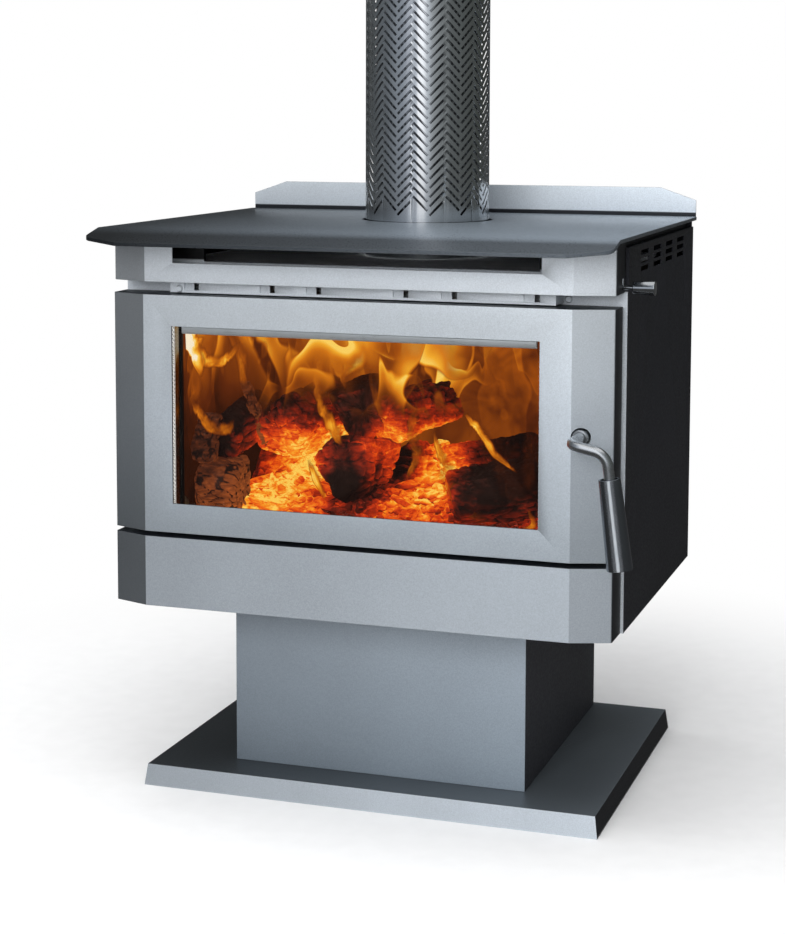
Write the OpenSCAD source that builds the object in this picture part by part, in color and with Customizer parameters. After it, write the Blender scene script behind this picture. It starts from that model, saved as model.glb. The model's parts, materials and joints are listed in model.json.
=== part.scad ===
// Free-standing wood burning stove on a pedestal, with a hinged glass door, a latch
// handle that turns and an air control that slides. All sizes are in millimetres.
// +Z is up and +Y points to the back. The origin lies on the floor, straight below
// the centre of the flue.

/* [Body] */
// Width over the two side panels
body_w = 708; // [640:1:860]
// Depth from the door's face to the back panel's rear face
body_d = 540; // [450:1:660]
// Distance from the door's face back to the flue's centre
flue_setback = 333; // [280:1:400]
// Thickness of the outer panels
panel_t = 2; // [1.5:0.5:3]
// Thickness of the firebox plates
plate_t = 6; // [4:1:8]

/* [Front panels] */
// How far the front panels stand in from the body's sides
front_inset = 4; // [0:0.5:12]
// Width of each slanted facet
facet_w = 52.5; // [40:0.5:80]
// How far the facets fall back at the outer edges
facet_d = 18; // [6:1:30]
// Radius of the folded outer edges
fold_r = 4; // [2:0.5:6]
// Height of the lower valance
valance_h = 97; // [70:1:140]
// Gap between the valance and the door
door_gap = 7; // [4:1:15]
// Height of the top fascia
fascia_h = 68; // [62:1:100]
// Gap between the door and the fascia, where the air slots show
rail_gap = 17; // [14:1:25]
// How far the fascia stands behind the door's face
fascia_step = 5; // [1:1:12]

/* [Door] */
// Height of the door
door_h = 325; // [270:1:400]
// Depth of the door's folded edges
door_d = 58; // [50:1:60]
// Thickness of the door's front sheet
door_t = 3; // [2:0.5:4]
// Distance from the door's lower edge to its inner frame
frame_margin_low = 4; // [4:0.5:30]
// Distance from the door's upper edge to its inner frame
frame_margin_top = 6; // [4:0.5:30]
// Distance from the door's side edges to its inner frame
frame_margin_side = 58; // [56:1:120]
// Thickness of the glass
glass_t = 5; // [4:0.5:8]
// How far the glass overlaps the window opening on each side
glass_overlap = 10; // [8:1:12]
// Diameter of the gasket rope in front of the glass
glass_rope_d = 8; // [5:0.5:9]
// Diameter of the door's sealing rope
door_rope_d = 10; // [8:0.5:12]

/* [Handle] */
// Diameter of the handle's bar
bar_d = 14; // [10:0.1:16]
// Wall of the bush around the bar
bush_wall = 3.1; // [2:0.1:6]
// Radial running clearance of the bar in its bush
bar_play = 0.05; // [0.02:0.01:0.1]
// Distance from the door's right edge to the handle's axis
handle_inset = 40.5; // [36:0.5:48]
// Distance from the door's face to the bar's outer run
handle_reach = 55; // [45:1:80]
// Slope of the bar's outer run below level
run_slope = 12; // [0:1:20]
// Tilt of the grip away from plumb
grip_tilt = 7.4; // [0:0.1:12]
// Length of the grip
grip_len = 114; // [90:1:140]
// Diameter of the grip at its upper end
grip_top_d = 28; // [22:1:32]
// Diameter of the grip at its lower end
grip_end_d = 33; // [26:1:40]

/* [Top plate and upstand] */
// How far the top plate reaches past the body on each side
top_overhang = 6; // [0:0.5:30]
// Thickness of the top plate
top_t = 5; // [4:0.5:8]
// How far the top plate's nose reaches in front of the door's face
nose_reach = 71; // [40:1:90]
// Depth of the sloping nose, from its bend to its lip
nose_d = 63; // [35:1:80]
// How far the nose drops from its bend to its lip
nose_drop = 15; // [6:1:24]
// Height of the rear upstand above the top plate
upstand_h = 43; // [25:1:80]

/* [Pedestal and base] */
// Height of the pedestal
pedestal_h = 244; // [150:1:320]
// Width of the pedestal
pedestal_w = 424; // [360:1:480]
// Distance from the door's face back to the pedestal
pedestal_inset = 113; // [80:1:160]
// Distance from the pedestal's rear face to the body's rear face
pedestal_rear_inset = 8; // [0:1:60]
// Height of the base tray
base_h = 30; // [22:1:45]
// Width of the base tray at the floor
base_w = 654; // [540:1:760]
// Distance from the door's face back to the base tray's front
base_inset = 50; // [0:1:80]
// How far the base tray reaches behind the body
base_rear_reach = 7; // [0:1:60]
// How far the base tray's flanges lean outwards
base_lean = 4; // [0:1:8]
// Thickness of the base and pedestal sheet
base_t = 3; // [2:0.5:5]

/* [Flue] */
// Outer diameter of the flue pipe
flue_d = 150; // [125:1:180]
// Wall thickness of the flue pipe
flue_wall = 0.9; // [0.7:0.1:1.5]
// Distance from the flue pipe out to the casing's outer face
casing_gap = 15; // [12:0.5:25]
// Height of the casing's upper end above the top plate
casing_rise = 397; // [200:1:900]
// How far the flue pipe stands out above the casing
flue_stub = 25; // [15:1:60]

/* [Air control] */
// Diameter of the air control's rod
air_rod_d = 6; // [4:0.5:6]
// Distance between the rod's knob and the fascia's side
air_knob_gap = 13.5; // [12:0.5:20]
// Length of the knob
air_knob_len = 29; // [20:1:40]
// Width of each air slot
slot_w = 21; // [16:0.5:26]
// Part of each slot's width that is covered by the slide
slot_cover = 13.7; // [11:0.1:16]

/* [Lining] */
// Thickness of the firebricks
brick_t = 25; // [18:1:32]
// Distance from the side and rear firebricks up to the baffle's rails
brick_room = 80; // [10:1:160]
// Thickness of the baffle
baffle_t = 25; // [15:1:30]

/* [Hidden] */
$fn = 48;
eps = 1; // overshoot of a cut past the face it opens

// Heights of the stack, from the floor up
base_top = base_h;
body_z0 = base_top + pedestal_h;
valance_top = body_z0 + valance_h;
door_z0 = valance_top + door_gap;
door_top = door_z0 + door_h;
fascia_z0 = door_top + rail_gap;
top_under = fascia_z0 + fascia_h;
top_z = top_under + top_t;

// Planes from the front to the back
face_y = -flue_setback;
back_y = face_y + body_d;
front_gap = 68; // door face to firebox front
frame_y = face_y + front_gap;
frame_back = frame_y + plate_t;
door_back = face_y + door_d;
fascia_y = face_y + fascia_step;
fascia_facet = facet_d - 2;
panel_x = body_w / 2;
front_x = panel_x - front_inset;
crease_x = front_x - facet_w;
top_x = panel_x + top_overhang;

// Firebox
side_air = 48; // outer panel's face to firebox wall's face
box_x = panel_x - side_air;
box_in_x = box_x - plate_t;
box_floor = body_z0 + 50; // lower face of the firebox floor
box_hearth = box_floor + plate_t;
box_roof = fascia_z0 + 15; // lower face of the firebox roof
box_roof_top = box_roof + plate_t;
rear_air = 37; // back panel's face to firebox back's rear face
box_back = back_y - rear_air;
box_in_back = box_back - plate_t;

// The door's inner frame, the glass and the window, about the window's centre
frame_z0 = door_z0 + frame_margin_low;
frame_z1 = door_top - frame_margin_top;
window_z = (frame_z0 + frame_z1) / 2;
rope_gap = 0.3; // rope to firebox front
rope_y = frame_y - rope_gap - door_rope_d / 2;
rope_seat = rope_y - door_rope_d / 2;
rope_room = door_rope_d + 1;
lip_t = 3;
lip_reach = 5;
seat_x = front_x - frame_margin_side - lip_t - rope_room;
seat_z = (frame_z1 - frame_z0) / 2 - lip_t - rope_room;
frame_wall = 4;
wall_x = seat_x - frame_wall;
wall_z = seat_z - frame_wall;
wall_gap = 8; // glass edge to frame wall, where the retainer screws pass
glass_x = wall_x - wall_gap;
glass_z = wall_z - wall_gap;
glass_front = face_y + door_t + glass_rope_d;
glass_back = glass_front + glass_t;
window_x = glass_x - glass_overlap;
window_half_h = glass_z - glass_overlap;
doorway_x = wall_x - 2;
doorway_z = wall_z - 2;

// Hinges
hinge_x = -(front_x - 3);
hinge_y = door_back - 1;
pin_d = 7;
pin_play = 0.05;
knuckle_d = 12;
knuckle_h = 24;
lug_t = 5;
hinge_inset = 52; // door edge to knuckle
hinge_zs = [door_z0 + hinge_inset, door_top - hinge_inset - knuckle_h];

// Handle
handle_x = front_x - handle_inset;
handle_z = door_z0 + door_h / 2;
run_y = face_y - handle_reach;
bush_d = bar_d + 2 * bush_wall;
bush_hole_d = bush_d + 4;
bush_front = face_y - 3;
bush_back = face_y + facet_d + 15;
first_bend_r = 14;
second_bend_r = 22;
drop_angle = 90 - grip_tilt - run_slope; // turn of the second bend
bend_tangent = second_bend_r * tan(drop_angle / 2);
run_len = 47.5; // handle axis to the corner of the second bend
drop_len = 30; // corner of the second bend to the grip's upper end
bar_in_grip = grip_len - 10;
grip_wall = 3;
finger_len = handle_inset - 9.5;
finger_t = 6;
finger_w = 12;
finger_gap = 0.5; // finger to the keeper's lip
finger_y = bush_back + 8;
shaft_end = finger_y + finger_t + 7;
keeper_x = handle_x + finger_len + 2.5;
keeper_t = 3;
keeper_h = 36;

// Air channel and slide
channel_x = crease_x - 27.7;
channel_y = face_y + 27;
channel_t = 1.5;
channel_z0 = door_top + 1.5;
channel_z1 = channel_z0 + 30.5;
slot_z0 = channel_z0 + 3.5;
slot_h = 12;
slot_outer = channel_x - 31.8;
slot_middle = slot_outer * 0.535;
slot_inner = slot_outer * 0.256;
slot_centres = [-slot_outer, -slot_middle, -slot_inner, slot_inner, slot_middle, slot_outer];
slide_t = 1.5;
slide_y = channel_y + channel_t + 0.3;
slide_left = -slot_outer - slot_w / 2 - 8;
air_rod_y = frame_y - 12;
air_rod_z = fascia_z0 + 8;
lug_x = channel_x - 15.8;
air_hole_w = air_rod_d + 2;
inlet_h = 12;

// Flue
flue_r = flue_d / 2;
casing_r = flue_r + casing_gap;
casing_wall = 0.8;
casing_play = 5;
casing_hole_r = casing_r + casing_play;
collar_gap = 0.3;
collar_wall = 4;
casing_top = top_z + casing_rise;
flue_top = casing_top + flue_stub;

// Pedestal
pedestal_x = pedestal_w / 2;
pedestal_y0 = face_y + pedestal_inset;
pedestal_y1 = back_y - pedestal_rear_inset;
pedestal_d = pedestal_y1 - pedestal_y0;
base_y0 = face_y + base_inset;
base_y1 = back_y + base_rear_reach;
ring_flange = 59;
bolt_inset = 30;
bolt_x = pedestal_x - bolt_inset;
fixing_inset_x = 62;
fixing_inset_front = 70;
fixing_inset_back = 49;
fixing_d = 11;

// Side vents
vent_l = 54;
vent_h = 6.5;
vent_pitch_z = 10.8;
vent_columns = 4;
vent_rows = 3;
vent_end = 104; // panel's ends to the centres of the outer columns
vent_y = frame_back + vent_end;
vent_pitch_y = (back_y - vent_end - vent_y) / (vent_columns - 1);
vent_z = top_under - 22.2; // centre of the top row

// Colours
silver_paint = "#aab1ba";
charcoal_paint = "#3f464e";
black_paint = "#222529";
bare_steel = "#4a4a4c";
stainless = "#b9bcbe";
zinc = "#c4c6c8";
brick = "#cdbb98";
rope_white = "#e2e0d8";

// ---------- helpers ----------

function unit(v) = v / norm(v);

// Points of an arc about centre c from p to q, the short way round
function arc_points(c, p, q, n) =
    let (
        start = atan2(p[1] - c[1], p[0] - c[0]),
        end = atan2(q[1] - c[1], q[0] - c[0]),
        turn = end - start,
        sweep = turn > 180 ? turn - 360 : turn < -180 ? turn + 360 : turn,
        r = norm(p - c)
    )
    [for (i = [0:n]) c + r * [cos(start + sweep * i / n), sin(start + sweep * i / n)]];

// A closed outline with each corner rounded by its own radius
function rounded(pts, radii, n = 4) = [
    for (i = [0:len(pts) - 1])
        let (
            b = pts[i],
            u = unit(pts[(i + len(pts) - 1) % len(pts)] - b),
            v = unit(pts[(i + 1) % len(pts)] - b),
            half = acos(u * v) / 2,
            r = radii[i],
            centre = b + unit(u + v) * r / sin(half)
        )
        each r == 0 ? [b] : arc_points(centre, b + u * r / tan(half), b + v * r / tan(half), n)
];

// Plan outline shared by the front panels: a flat face and two slanted facets, set in by t
function front_outline(face, depth, back, t = 0, r = fold_r) =
    let (
        slope = depth / (front_x - crease_x),
        stretch = 1 / cos(atan(slope)),
        corner_y = face + depth - slope * t + t * stretch,
        inner_crease = crease_x + t * (1 - stretch) / slope,
        edge = front_x - t,
        fold = max(r - t, 0.5)
    )
    rounded(
        [[-edge, back], [-edge, corner_y], [-inner_crease, face + t],
         [inner_crease, face + t], [edge, corner_y], [edge, back]],
        [0, fold, 2, 2, fold, 0]
    );

// A box from its two opposite corners
module block(low, high) {
    translate(low) cube(high - low);
}

// The same solid on the left and on the right
module both_sides() {
    children();
    mirror([1, 0, 0]) children();
}

// A cylinder along +Y
module rod_y(r, y0, y1) {
    translate([0, y0, 0]) rotate([-90, 0, 0]) cylinder(r = r, h = y1 - y0);
}

// A cylinder along +X
module rod_x(r, x0, x1) {
    translate([x0, 0, 0]) rotate([0, 90, 0]) cylinder(r = r, h = x1 - x0);
}

// A rectangular ring around the window's centre, between two depths
module window_ring(outer_x, outer_z, inner_x, inner_z, y0, y1) {
    difference() {
        block([-outer_x, y0, window_z - outer_z], [outer_x, y1, window_z + outer_z]);
        block([-inner_x, y0 - eps, window_z - inner_z], [inner_x, y1 + eps, window_z + inner_z]);
    }
}

// A closed rope of radius r around the window's centre, with rounded corners
module rope_ring(half_x, half_z, r, corner, y) {
    translate([0, y, window_z]) rotate([90, 0, 0]) for (a = [0, 180]) rotate(a) {
        translate([0, half_z, 0]) rod_x(r, corner - half_x, half_x - corner);
        translate([half_x, corner - half_z, 0]) rotate([-90, 0, 0])
            cylinder(r = r, h = 2 * (half_z - corner));
        translate([half_x - corner, half_z - corner, 0]) rotate_extrude(angle = 90)
            translate([corner, 0]) circle(r = r);
        translate([half_x - corner, corner - half_z, 0]) rotate([0, 0, -90])
            rotate_extrude(angle = 90) translate([corner, 0]) circle(r = r);
    }
}

// A tray-shaped solid whose four sides lean by the same amount
module leaning_block(half_x, y0, y1, z0, z1, lean) {
    intersection() {
        translate([0, y1 + lean, 0]) rotate([90, 0, 0]) linear_extrude(y1 - y0 + 2 * lean)
            polygon([[-half_x, z0], [half_x, z0], [half_x - lean, z1], [lean - half_x, z1]]);
        translate([-half_x - lean, 0, 0]) rotate([90, 0, 90]) linear_extrude(2 * (half_x + lean))
            polygon([[y0, z0], [y1, z0], [y1 - lean, z1], [y0 + lean, z1]]);
    }
}

// A bolt with its head on the plane z = 0 and its shank below
module bolt(shank_r, shank_l, head_r, head_h) {
    translate([0, 0, -shank_l]) cylinder(r = shank_r, h = shank_l);
    cylinder(r = head_r, h = head_h);
}

// ---------- base and pedestal ----------

module base_tray() {
    color(charcoal_paint) difference() {
        leaning_block(base_w / 2, base_y0, base_y1, 0, base_top, base_lean);
        leaning_block(
            base_w / 2 - base_t, base_y0 + base_t, base_y1 - base_t,
            -eps, base_top - base_t, base_lean * (base_top - base_t) / base_top
        );
        for (s = [-1, 1], y = [pedestal_y0 + fixing_inset_front, pedestal_y1 - fixing_inset_back])
            translate([s * (pedestal_x - fixing_inset_x), y, 0])
                cylinder(d = fixing_d, h = base_top + eps);
    }
}

// A box-section rail under the tray; its bottom stands on the floor
module rail(half_w, length, h) {
    difference() {
        block([-half_w, 0, 0], [half_w, length, h]);
        block([base_t - half_w, -eps, base_t], [half_w - base_t, length + eps, h - base_t]);
    }
}

rail_half = 16;
rail_inset = 8;
module base_rails() {
    color(black_paint) for (x = [-pedestal_x, pedestal_x])
        translate([x, pedestal_y0 + rail_inset, 0])
            rail(rail_half, pedestal_d - 2 * rail_inset, base_top - base_t);
}

module base_cross_rail() {
    reach = pedestal_x - rail_half;
    color(black_paint) translate([-reach, 0, 0]) rotate([0, 0, -90])
        rail(rail_half, 2 * reach, base_top - base_t);
}

module pedestal_front() {
    color(silver_paint) block(
        [-pedestal_x, pedestal_y0, base_top],
        [pedestal_x, pedestal_y0 + base_t, body_z0 + panel_t]
    );
}

module pedestal_side() {
    block(
        [pedestal_x - base_t, pedestal_y0 + base_t, base_top],
        [pedestal_x, pedestal_y1, body_z0 + panel_t]
    );
}

module pedestal_left() {
    color(black_paint) mirror([1, 0, 0]) pedestal_side();
}

module pedestal_right() {
    color(black_paint) pedestal_side();
}

module pedestal_back() {
    color(black_paint) block(
        [base_t - pedestal_x, pedestal_y1 - base_t, base_top],
        [pedestal_x - base_t, pedestal_y1, body_z0 + panel_t]
    );
}

ring_y0 = pedestal_y0 + base_t;
ring_y1 = pedestal_y1 - base_t;
ring_x = pedestal_x - base_t;
ring_z = body_z0 + panel_t;
ring_end = 50;
bolt_ys = [ring_y0 + ring_end / 2, ring_y1 - ring_end / 2];

// Holes of the bolts that hold the body on the pedestal
module pedestal_bolt_holes(z0, z1) {
    for (x = [-bolt_x, bolt_x], y = bolt_ys) translate([x, y, z0]) cylinder(d = 8.5, h = z1 - z0);
}

module pedestal_top_ring() {
    color(black_paint) difference() {
        block([-ring_x, ring_y0, ring_z - base_t], [ring_x, ring_y1, ring_z]);
        block(
            [ring_flange - ring_x, ring_y0 + ring_end, ring_z - base_t - eps],
            [ring_x - ring_flange, ring_y1 - ring_end, ring_z + eps]
        );
        pedestal_bolt_holes(ring_z - base_t - eps, ring_z + eps);
    }
}

module pedestal_bolts() {
    color(zinc) for (x = [-bolt_x, bolt_x], y = bolt_ys)
        translate([x, y, ring_z + panel_t]) bolt(4, panel_t + base_t + 9, 6.5, 5.5);
}

// ---------- body ----------

duct_x = crease_x - 60; // half width of the warm air outlet above the firebox
under_y0 = frame_back + panel_t;
under_y1 = back_y - panel_t;
module underbody_panel() {
    intake_w = 90;
    intake_d = 14;
    intake_pitch = (under_y1 - under_y0 - 226) / 2;
    color(black_paint) difference() {
        block(
            [panel_t - panel_x, under_y0, ring_z],
            [panel_x - panel_t, under_y1, ring_z + panel_t]
        );
        pedestal_bolt_holes(ring_z - eps, ring_z + panel_t + eps);
        both_sides() for (i = [0:2])
            translate([panel_x - 60, under_y0 + 100 + i * intake_pitch, ring_z - eps])
                translate([-intake_d / 2, 0, 0]) cube([intake_d, intake_w, panel_t + 2 * eps]);
    }
}

// Channels that carry the firebox floor on the underbody
module support_rails() {
    rail_w = 50;
    rail_x = 140;
    y0 = bolt_ys[0] + 15;
    y1 = bolt_ys[1] - 26;
    z0 = ring_z + panel_t;
    h = box_floor - z0;
    t = base_t;
    color(bare_steel) both_sides() difference() {
        block([rail_x, y0, z0], [rail_x + rail_w, y1, z0 + h]);
        block([rail_x + t, y0 - eps, z0 + t], [rail_x + rail_w + eps, y1 + eps, z0 + h - t]);
    }
}

module firebox_front() {
    color(silver_paint) difference() {
        block([-panel_x, frame_y, body_z0], [panel_x, frame_back, top_under - 0.5]);
        block(
            [-doorway_x, frame_y - eps, window_z - doorway_z],
            [doorway_x, frame_back + eps, window_z + doorway_z]
        );
        block(
            [-channel_x + 25, frame_y - eps, channel_z0 + 10],
            [channel_x - 25, frame_back + eps, channel_z0 + 10 + inlet_h]
        );
        block(
            [-duct_x, frame_y - eps, box_roof_top + 3],
            [duct_x, frame_back + eps, top_under - 6]
        );
        both_sides() block(
            [front_x, frame_y - eps, fascia_z0 + 1],
            [panel_x + eps, frame_back + eps, top_under]
        );
    }
}

module firebox_floor() {
    color(bare_steel) block([-box_x, frame_back, box_floor], [box_x, box_back, box_hearth]);
}

module firebox_wall() {
    block([box_in_x, frame_back, box_hearth], [box_x, box_in_back, box_roof]);
}

module firebox_left() {
    color(bare_steel) mirror([1, 0, 0]) firebox_wall();
}

module firebox_right() {
    color(bare_steel) firebox_wall();
}

module firebox_back() {
    color(bare_steel) block([-box_x, box_in_back, box_hearth], [box_x, box_back, box_roof]);
}

module firebox_roof() {
    color(bare_steel) difference() {
        block([-box_x, frame_back, box_roof], [box_x, box_back, box_roof_top]);
        translate([0, 0, box_roof - eps]) cylinder(r = flue_r - 4, h = plate_t + 2 * eps, $fn = 96);
    }
}

side_top = top_under - 10;
// Outer side panel on the right, with its folded edges and its vents
module side_panel() {
    flange = 14;
    difference() {
        union() {
            block([panel_x - panel_t, frame_back, body_z0], [panel_x, back_y, side_top]);
            block(
                [panel_x - flange, frame_back, ring_z + panel_t],
                [panel_x - panel_t + 0.01, frame_back + panel_t, side_top]
            );
            block(
                [panel_x - flange, under_y1 - panel_t, ring_z + panel_t],
                [panel_x - panel_t + 0.01, under_y1, side_top]
            );
        }
        for (i = [0:vent_columns - 1], j = [0:vent_rows - 1])
            translate([panel_x, vent_y + i * vent_pitch_y, vent_z - j * vent_pitch_z])
                cube([4 * panel_t, vent_l, vent_h], center = true);
        for (z = screw_zs) translate([screw_x, 0, z]) rod_y(2, under_y1 - 2 * panel_t, back_y + eps);
    }
}

module side_panel_left() {
    color(black_paint) mirror([1, 0, 0]) side_panel();
}

module side_panel_right() {
    color(black_paint) side_panel();
}

// Angle that carries the top plate above each side panel
module top_rails() {
    web_x = panel_x - 10;
    color(black_paint) both_sides() {
        block(
            [web_x - panel_t, under_y0, side_top - panel_t],
            [panel_x - panel_t, under_y1 - panel_t, side_top]
        );
        block([web_x - panel_t, under_y0, side_top - panel_t], [web_x, under_y1 - panel_t, top_under]);
    }
}

screw_x = panel_x - 9;
screw_zs = [for (i = [0:3]) body_z0 + 40 + i * (top_under - body_z0 - 90) / 3];
module rear_panel() {
    slot_l = 70;
    slot_hh = 8;
    color(black_paint) difference() {
        block(
            [panel_t - panel_x, back_y - panel_t, body_z0],
            [panel_x - panel_t, back_y, top_under - 1]
        );
        for (x = [-2:2], z = [0:2])
            translate([x * 105, back_y, body_z0 + 70 + z * 24])
                cube([slot_l, 4 * panel_t, slot_hh], center = true);
        for (s = [-1, 1], z = screw_zs) translate([s * screw_x, 0, z])
            rod_y(2.2, back_y - 2 * panel_t, back_y + eps);
    }
}

module panel_screws() {
    color(zinc) for (s = [-1, 1], z = screw_zs) translate([s * screw_x, back_y, z])
        rotate([-90, 0, 0]) bolt(1.95, 8, 4, 2);
}

// The top plate's section: a flat plate with a nose that slopes down to the front
nose_bend = face_y - nose_reach + nose_d;
nose_lip = face_y - nose_reach;
top_back = back_y - 1.5;
nose_facet = 21; // how far the nose's corner facets fall back
module top_plate() {
    half = top_x;
    nose_crease = crease_x + 8;
    outline = rounded(
        [[-half, top_back], [-half, nose_lip + nose_facet], [-nose_crease, nose_lip],
         [nose_crease, nose_lip], [half, nose_lip + nose_facet], [half, top_back]],
        [6, 15, 2, 2, 15, 6]
    );
    color(charcoal_paint) difference() {
        intersection() {
            translate([-half, 0, 0]) rotate([90, 0, 90]) linear_extrude(2 * half) polygon([
                [top_back, top_z], [nose_bend, top_z], [nose_lip, top_z - nose_drop],
                [nose_lip, top_z - nose_drop - top_t], [nose_bend, top_z - top_t],
                [top_back, top_z - top_t]
            ]);
            linear_extrude(top_z + eps) polygon(outline);
        }
        translate([0, 0, top_under - eps])
            cylinder(r = casing_hole_r, h = top_t + 2 * eps, $fn = 96);
    }
}

// Upright sheet along the back of the top plate, with cut upper corners
module rear_upstand() {
    half = top_x - 2.5;
    skirt = 30;
    corner_w = 54;
    corner_h = 18.5;
    foot = half - 12;
    color(silver_paint) translate([0, back_y + panel_t, 0]) rotate([90, 0, 0])
        linear_extrude(panel_t) polygon([
            [-foot, top_z - skirt], [foot, top_z - skirt], [foot, top_z - top_t], [half, top_z - top_t],
            [half, top_z + upstand_h - corner_h], [half - corner_w, top_z + upstand_h],
            [corner_w - half, top_z + upstand_h], [-half, top_z + upstand_h - corner_h],
            [-half, top_z - top_t], [-foot, top_z - top_t]
        ]);
}

module top_fascia() {
    outlet_x = crease_x - 41.5;
    outlet_h = 21;
    outlet_z = fascia_z0 + 26.5;
    outer = front_outline(fascia_y, fascia_facet, frame_y);
    inner = front_outline(fascia_y, fascia_facet, frame_y + eps, panel_t);
    color(silver_paint) difference() {
        translate([0, 0, fascia_z0]) linear_extrude(top_under - 0.5 - fascia_z0) difference() {
            polygon(outer);
            polygon(inner);
        }
        block(
            [-outlet_x, fascia_y - eps, outlet_z],
            [outlet_x, fascia_y + 2 * panel_t, outlet_z + outlet_h]
        );
        translate([0, air_rod_y, air_rod_z]) rod_x(air_hole_w / 2, front_x - 10, front_x + 10);
        block(
            [front_x - 10, air_rod_y - air_hole_w / 2, air_rod_z],
            [front_x + 10, air_rod_y + air_hole_w / 2, air_rod_z + 11]
        );
    }
}

module lower_valance() {
    lip = 12;
    outer = front_outline(face_y, facet_d, frame_y);
    color(silver_paint) {
        translate([0, 0, body_z0]) linear_extrude(valance_h) difference() {
            polygon(outer);
            polygon(front_outline(face_y, facet_d, frame_y + eps, panel_t));
        }
        translate([0, 0, valance_top - panel_t]) linear_extrude(panel_t) polygon(outer);
        translate([0, 0, body_z0]) linear_extrude(panel_t) difference() {
            polygon(outer);
            polygon(front_outline(face_y, facet_d, frame_y + eps, lip));
        }
    }
}

// ---------- flue ----------

module tube(outer, inner, z0, z1) {
    translate([0, 0, z0]) difference() {
        cylinder(r = outer, h = z1 - z0, $fn = 96);
        translate([0, 0, -eps]) cylinder(r = inner, h = z1 - z0 + 2 * eps, $fn = 96);
    }
}

module flue_collar() {
    inner = flue_r + collar_gap;
    color(bare_steel) tube(inner + collar_wall, inner, box_roof_top, top_under - 4);
}

module flue_pipe() {
    color(stainless) tube(flue_r, flue_r - flue_wall, box_roof_top, flue_top);
}

module flue_casing() {
    color(stainless) tube(casing_r, casing_r - casing_wall, box_roof_top, casing_top);
}

// Clips that hold the casing around the pipe
module flue_spacers() {
    clip_w = 18;
    clip_h = 30;
    clip_t = 1.2;
    inner = flue_r + 0.2;
    reach = casing_r - casing_wall - 0.7 - inner;
    color(stainless) for (a = [30:120:270]) rotate(a) translate([inner, -clip_w / 2, casing_top - 45]) {
        cube([clip_t, clip_w, clip_h]);
        cube([reach, clip_w, clip_t]);
        translate([reach - clip_t, 0, 0]) cube([clip_t, clip_w, clip_h]);
    }
}

// ---------- lining ----------

brick_gap = 1;
hearth = box_hearth + brick_t;
baffle_z = box_roof - 75;
rail_s = 20;
rail_t = 3;
baffle_y0 = frame_back + 95;
brick_h = baffle_z - rail_s - brick_room - hearth;
lining_y0 = frame_back + 4;
lining_y1 = box_in_back - brick_t - brick_gap;

module floor_bricks() {
    columns = 4;
    rows = 2;
    w = (2 * box_in_x - (columns + 1) * brick_gap) / columns;
    d = (box_in_back - lining_y0 - rows * brick_gap) / rows;
    color(brick) for (i = [0:columns - 1], j = [0:rows - 1])
        translate([
            -box_in_x + brick_gap + i * (w + brick_gap),
            lining_y0 + j * (d + brick_gap),
            box_hearth
        ]) cube([w, d, brick_t]);
}

module side_bricks() {
    count = 2;
    d = (lining_y1 - lining_y0 - (count - 1) * brick_gap) / count;
    for (i = [0:count - 1])
        translate([box_in_x - brick_t, lining_y0 + i * (d + brick_gap), hearth])
            cube([brick_t, d, brick_h]);
}

module left_bricks() {
    color(brick) mirror([1, 0, 0]) side_bricks();
}

module right_bricks() {
    color(brick) side_bricks();
}

module rear_bricks() {
    count = 3;
    w = (2 * box_in_x - (count + 1) * brick_gap) / count;
    color(brick) for (i = [0:count - 1])
        translate([-box_in_x + brick_gap + i * (w + brick_gap), box_in_back - brick_t, hearth])
            cube([w, brick_t, brick_h]);
}

module baffle() {
    color(brick) block(
        [1 - box_in_x, baffle_y0, baffle_z],
        [box_in_x - 1, box_in_back - 1, baffle_z + baffle_t]
    );
}

module baffle_rails() {
    color(bare_steel) both_sides() {
        block(
            [box_in_x - rail_s, baffle_y0, baffle_z - rail_t],
            [box_in_x, box_in_back, baffle_z]
        );
        block(
            [box_in_x - rail_t, baffle_y0, baffle_z - rail_s],
            [box_in_x, box_in_back, baffle_z - rail_t + 0.01]
        );
    }
}

module log_guard() {
    foot = 30;
    guard_h = 36;
    reach = min(doorway_x, box_in_x - brick_t) - 4;
    y0 = lining_y0 + 2;
    color(bare_steel) {
        block([-reach, y0, hearth], [reach, y0 + foot, hearth + rail_t]);
        block([-reach, y0, hearth], [reach, y0 + rail_t, hearth + guard_h]);
    }
}

// ---------- air supply ----------

module airwash_channel() {
    inner = channel_x - channel_t;
    color(silver_paint) difference() {
        block([-channel_x, channel_y, channel_z0], [channel_x, frame_y, channel_z1]);
        block(
            [-inner, channel_y + channel_t, channel_z0 + channel_t],
            [inner, frame_y + eps, channel_z1 - channel_t]
        );
        for (x = slot_centres) block(
            [x - slot_w / 2, channel_y - eps, slot_z0],
            [x + slot_w / 2, channel_y + channel_t + eps, slot_z0 + slot_h]
        );
        translate([0, air_rod_y, air_rod_z])
            rod_x(air_rod_d / 2 + 0.4, inner - eps, channel_x + eps);
    }
}

// Folded plate that turns the incoming air down over the glass
module airwash_deflector() {
    reach = 26;
    half = channel_x - 10;
    z1 = channel_z0 + 10 + inlet_h + 4;
    color(bare_steel) {
        block([-half, frame_back, z1], [half, frame_back + reach, z1 + rail_t]);
        block([-half, frame_back + reach - rail_t, z1 - 30], [half, frame_back + reach, z1 + 0.01]);
    }
}

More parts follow.
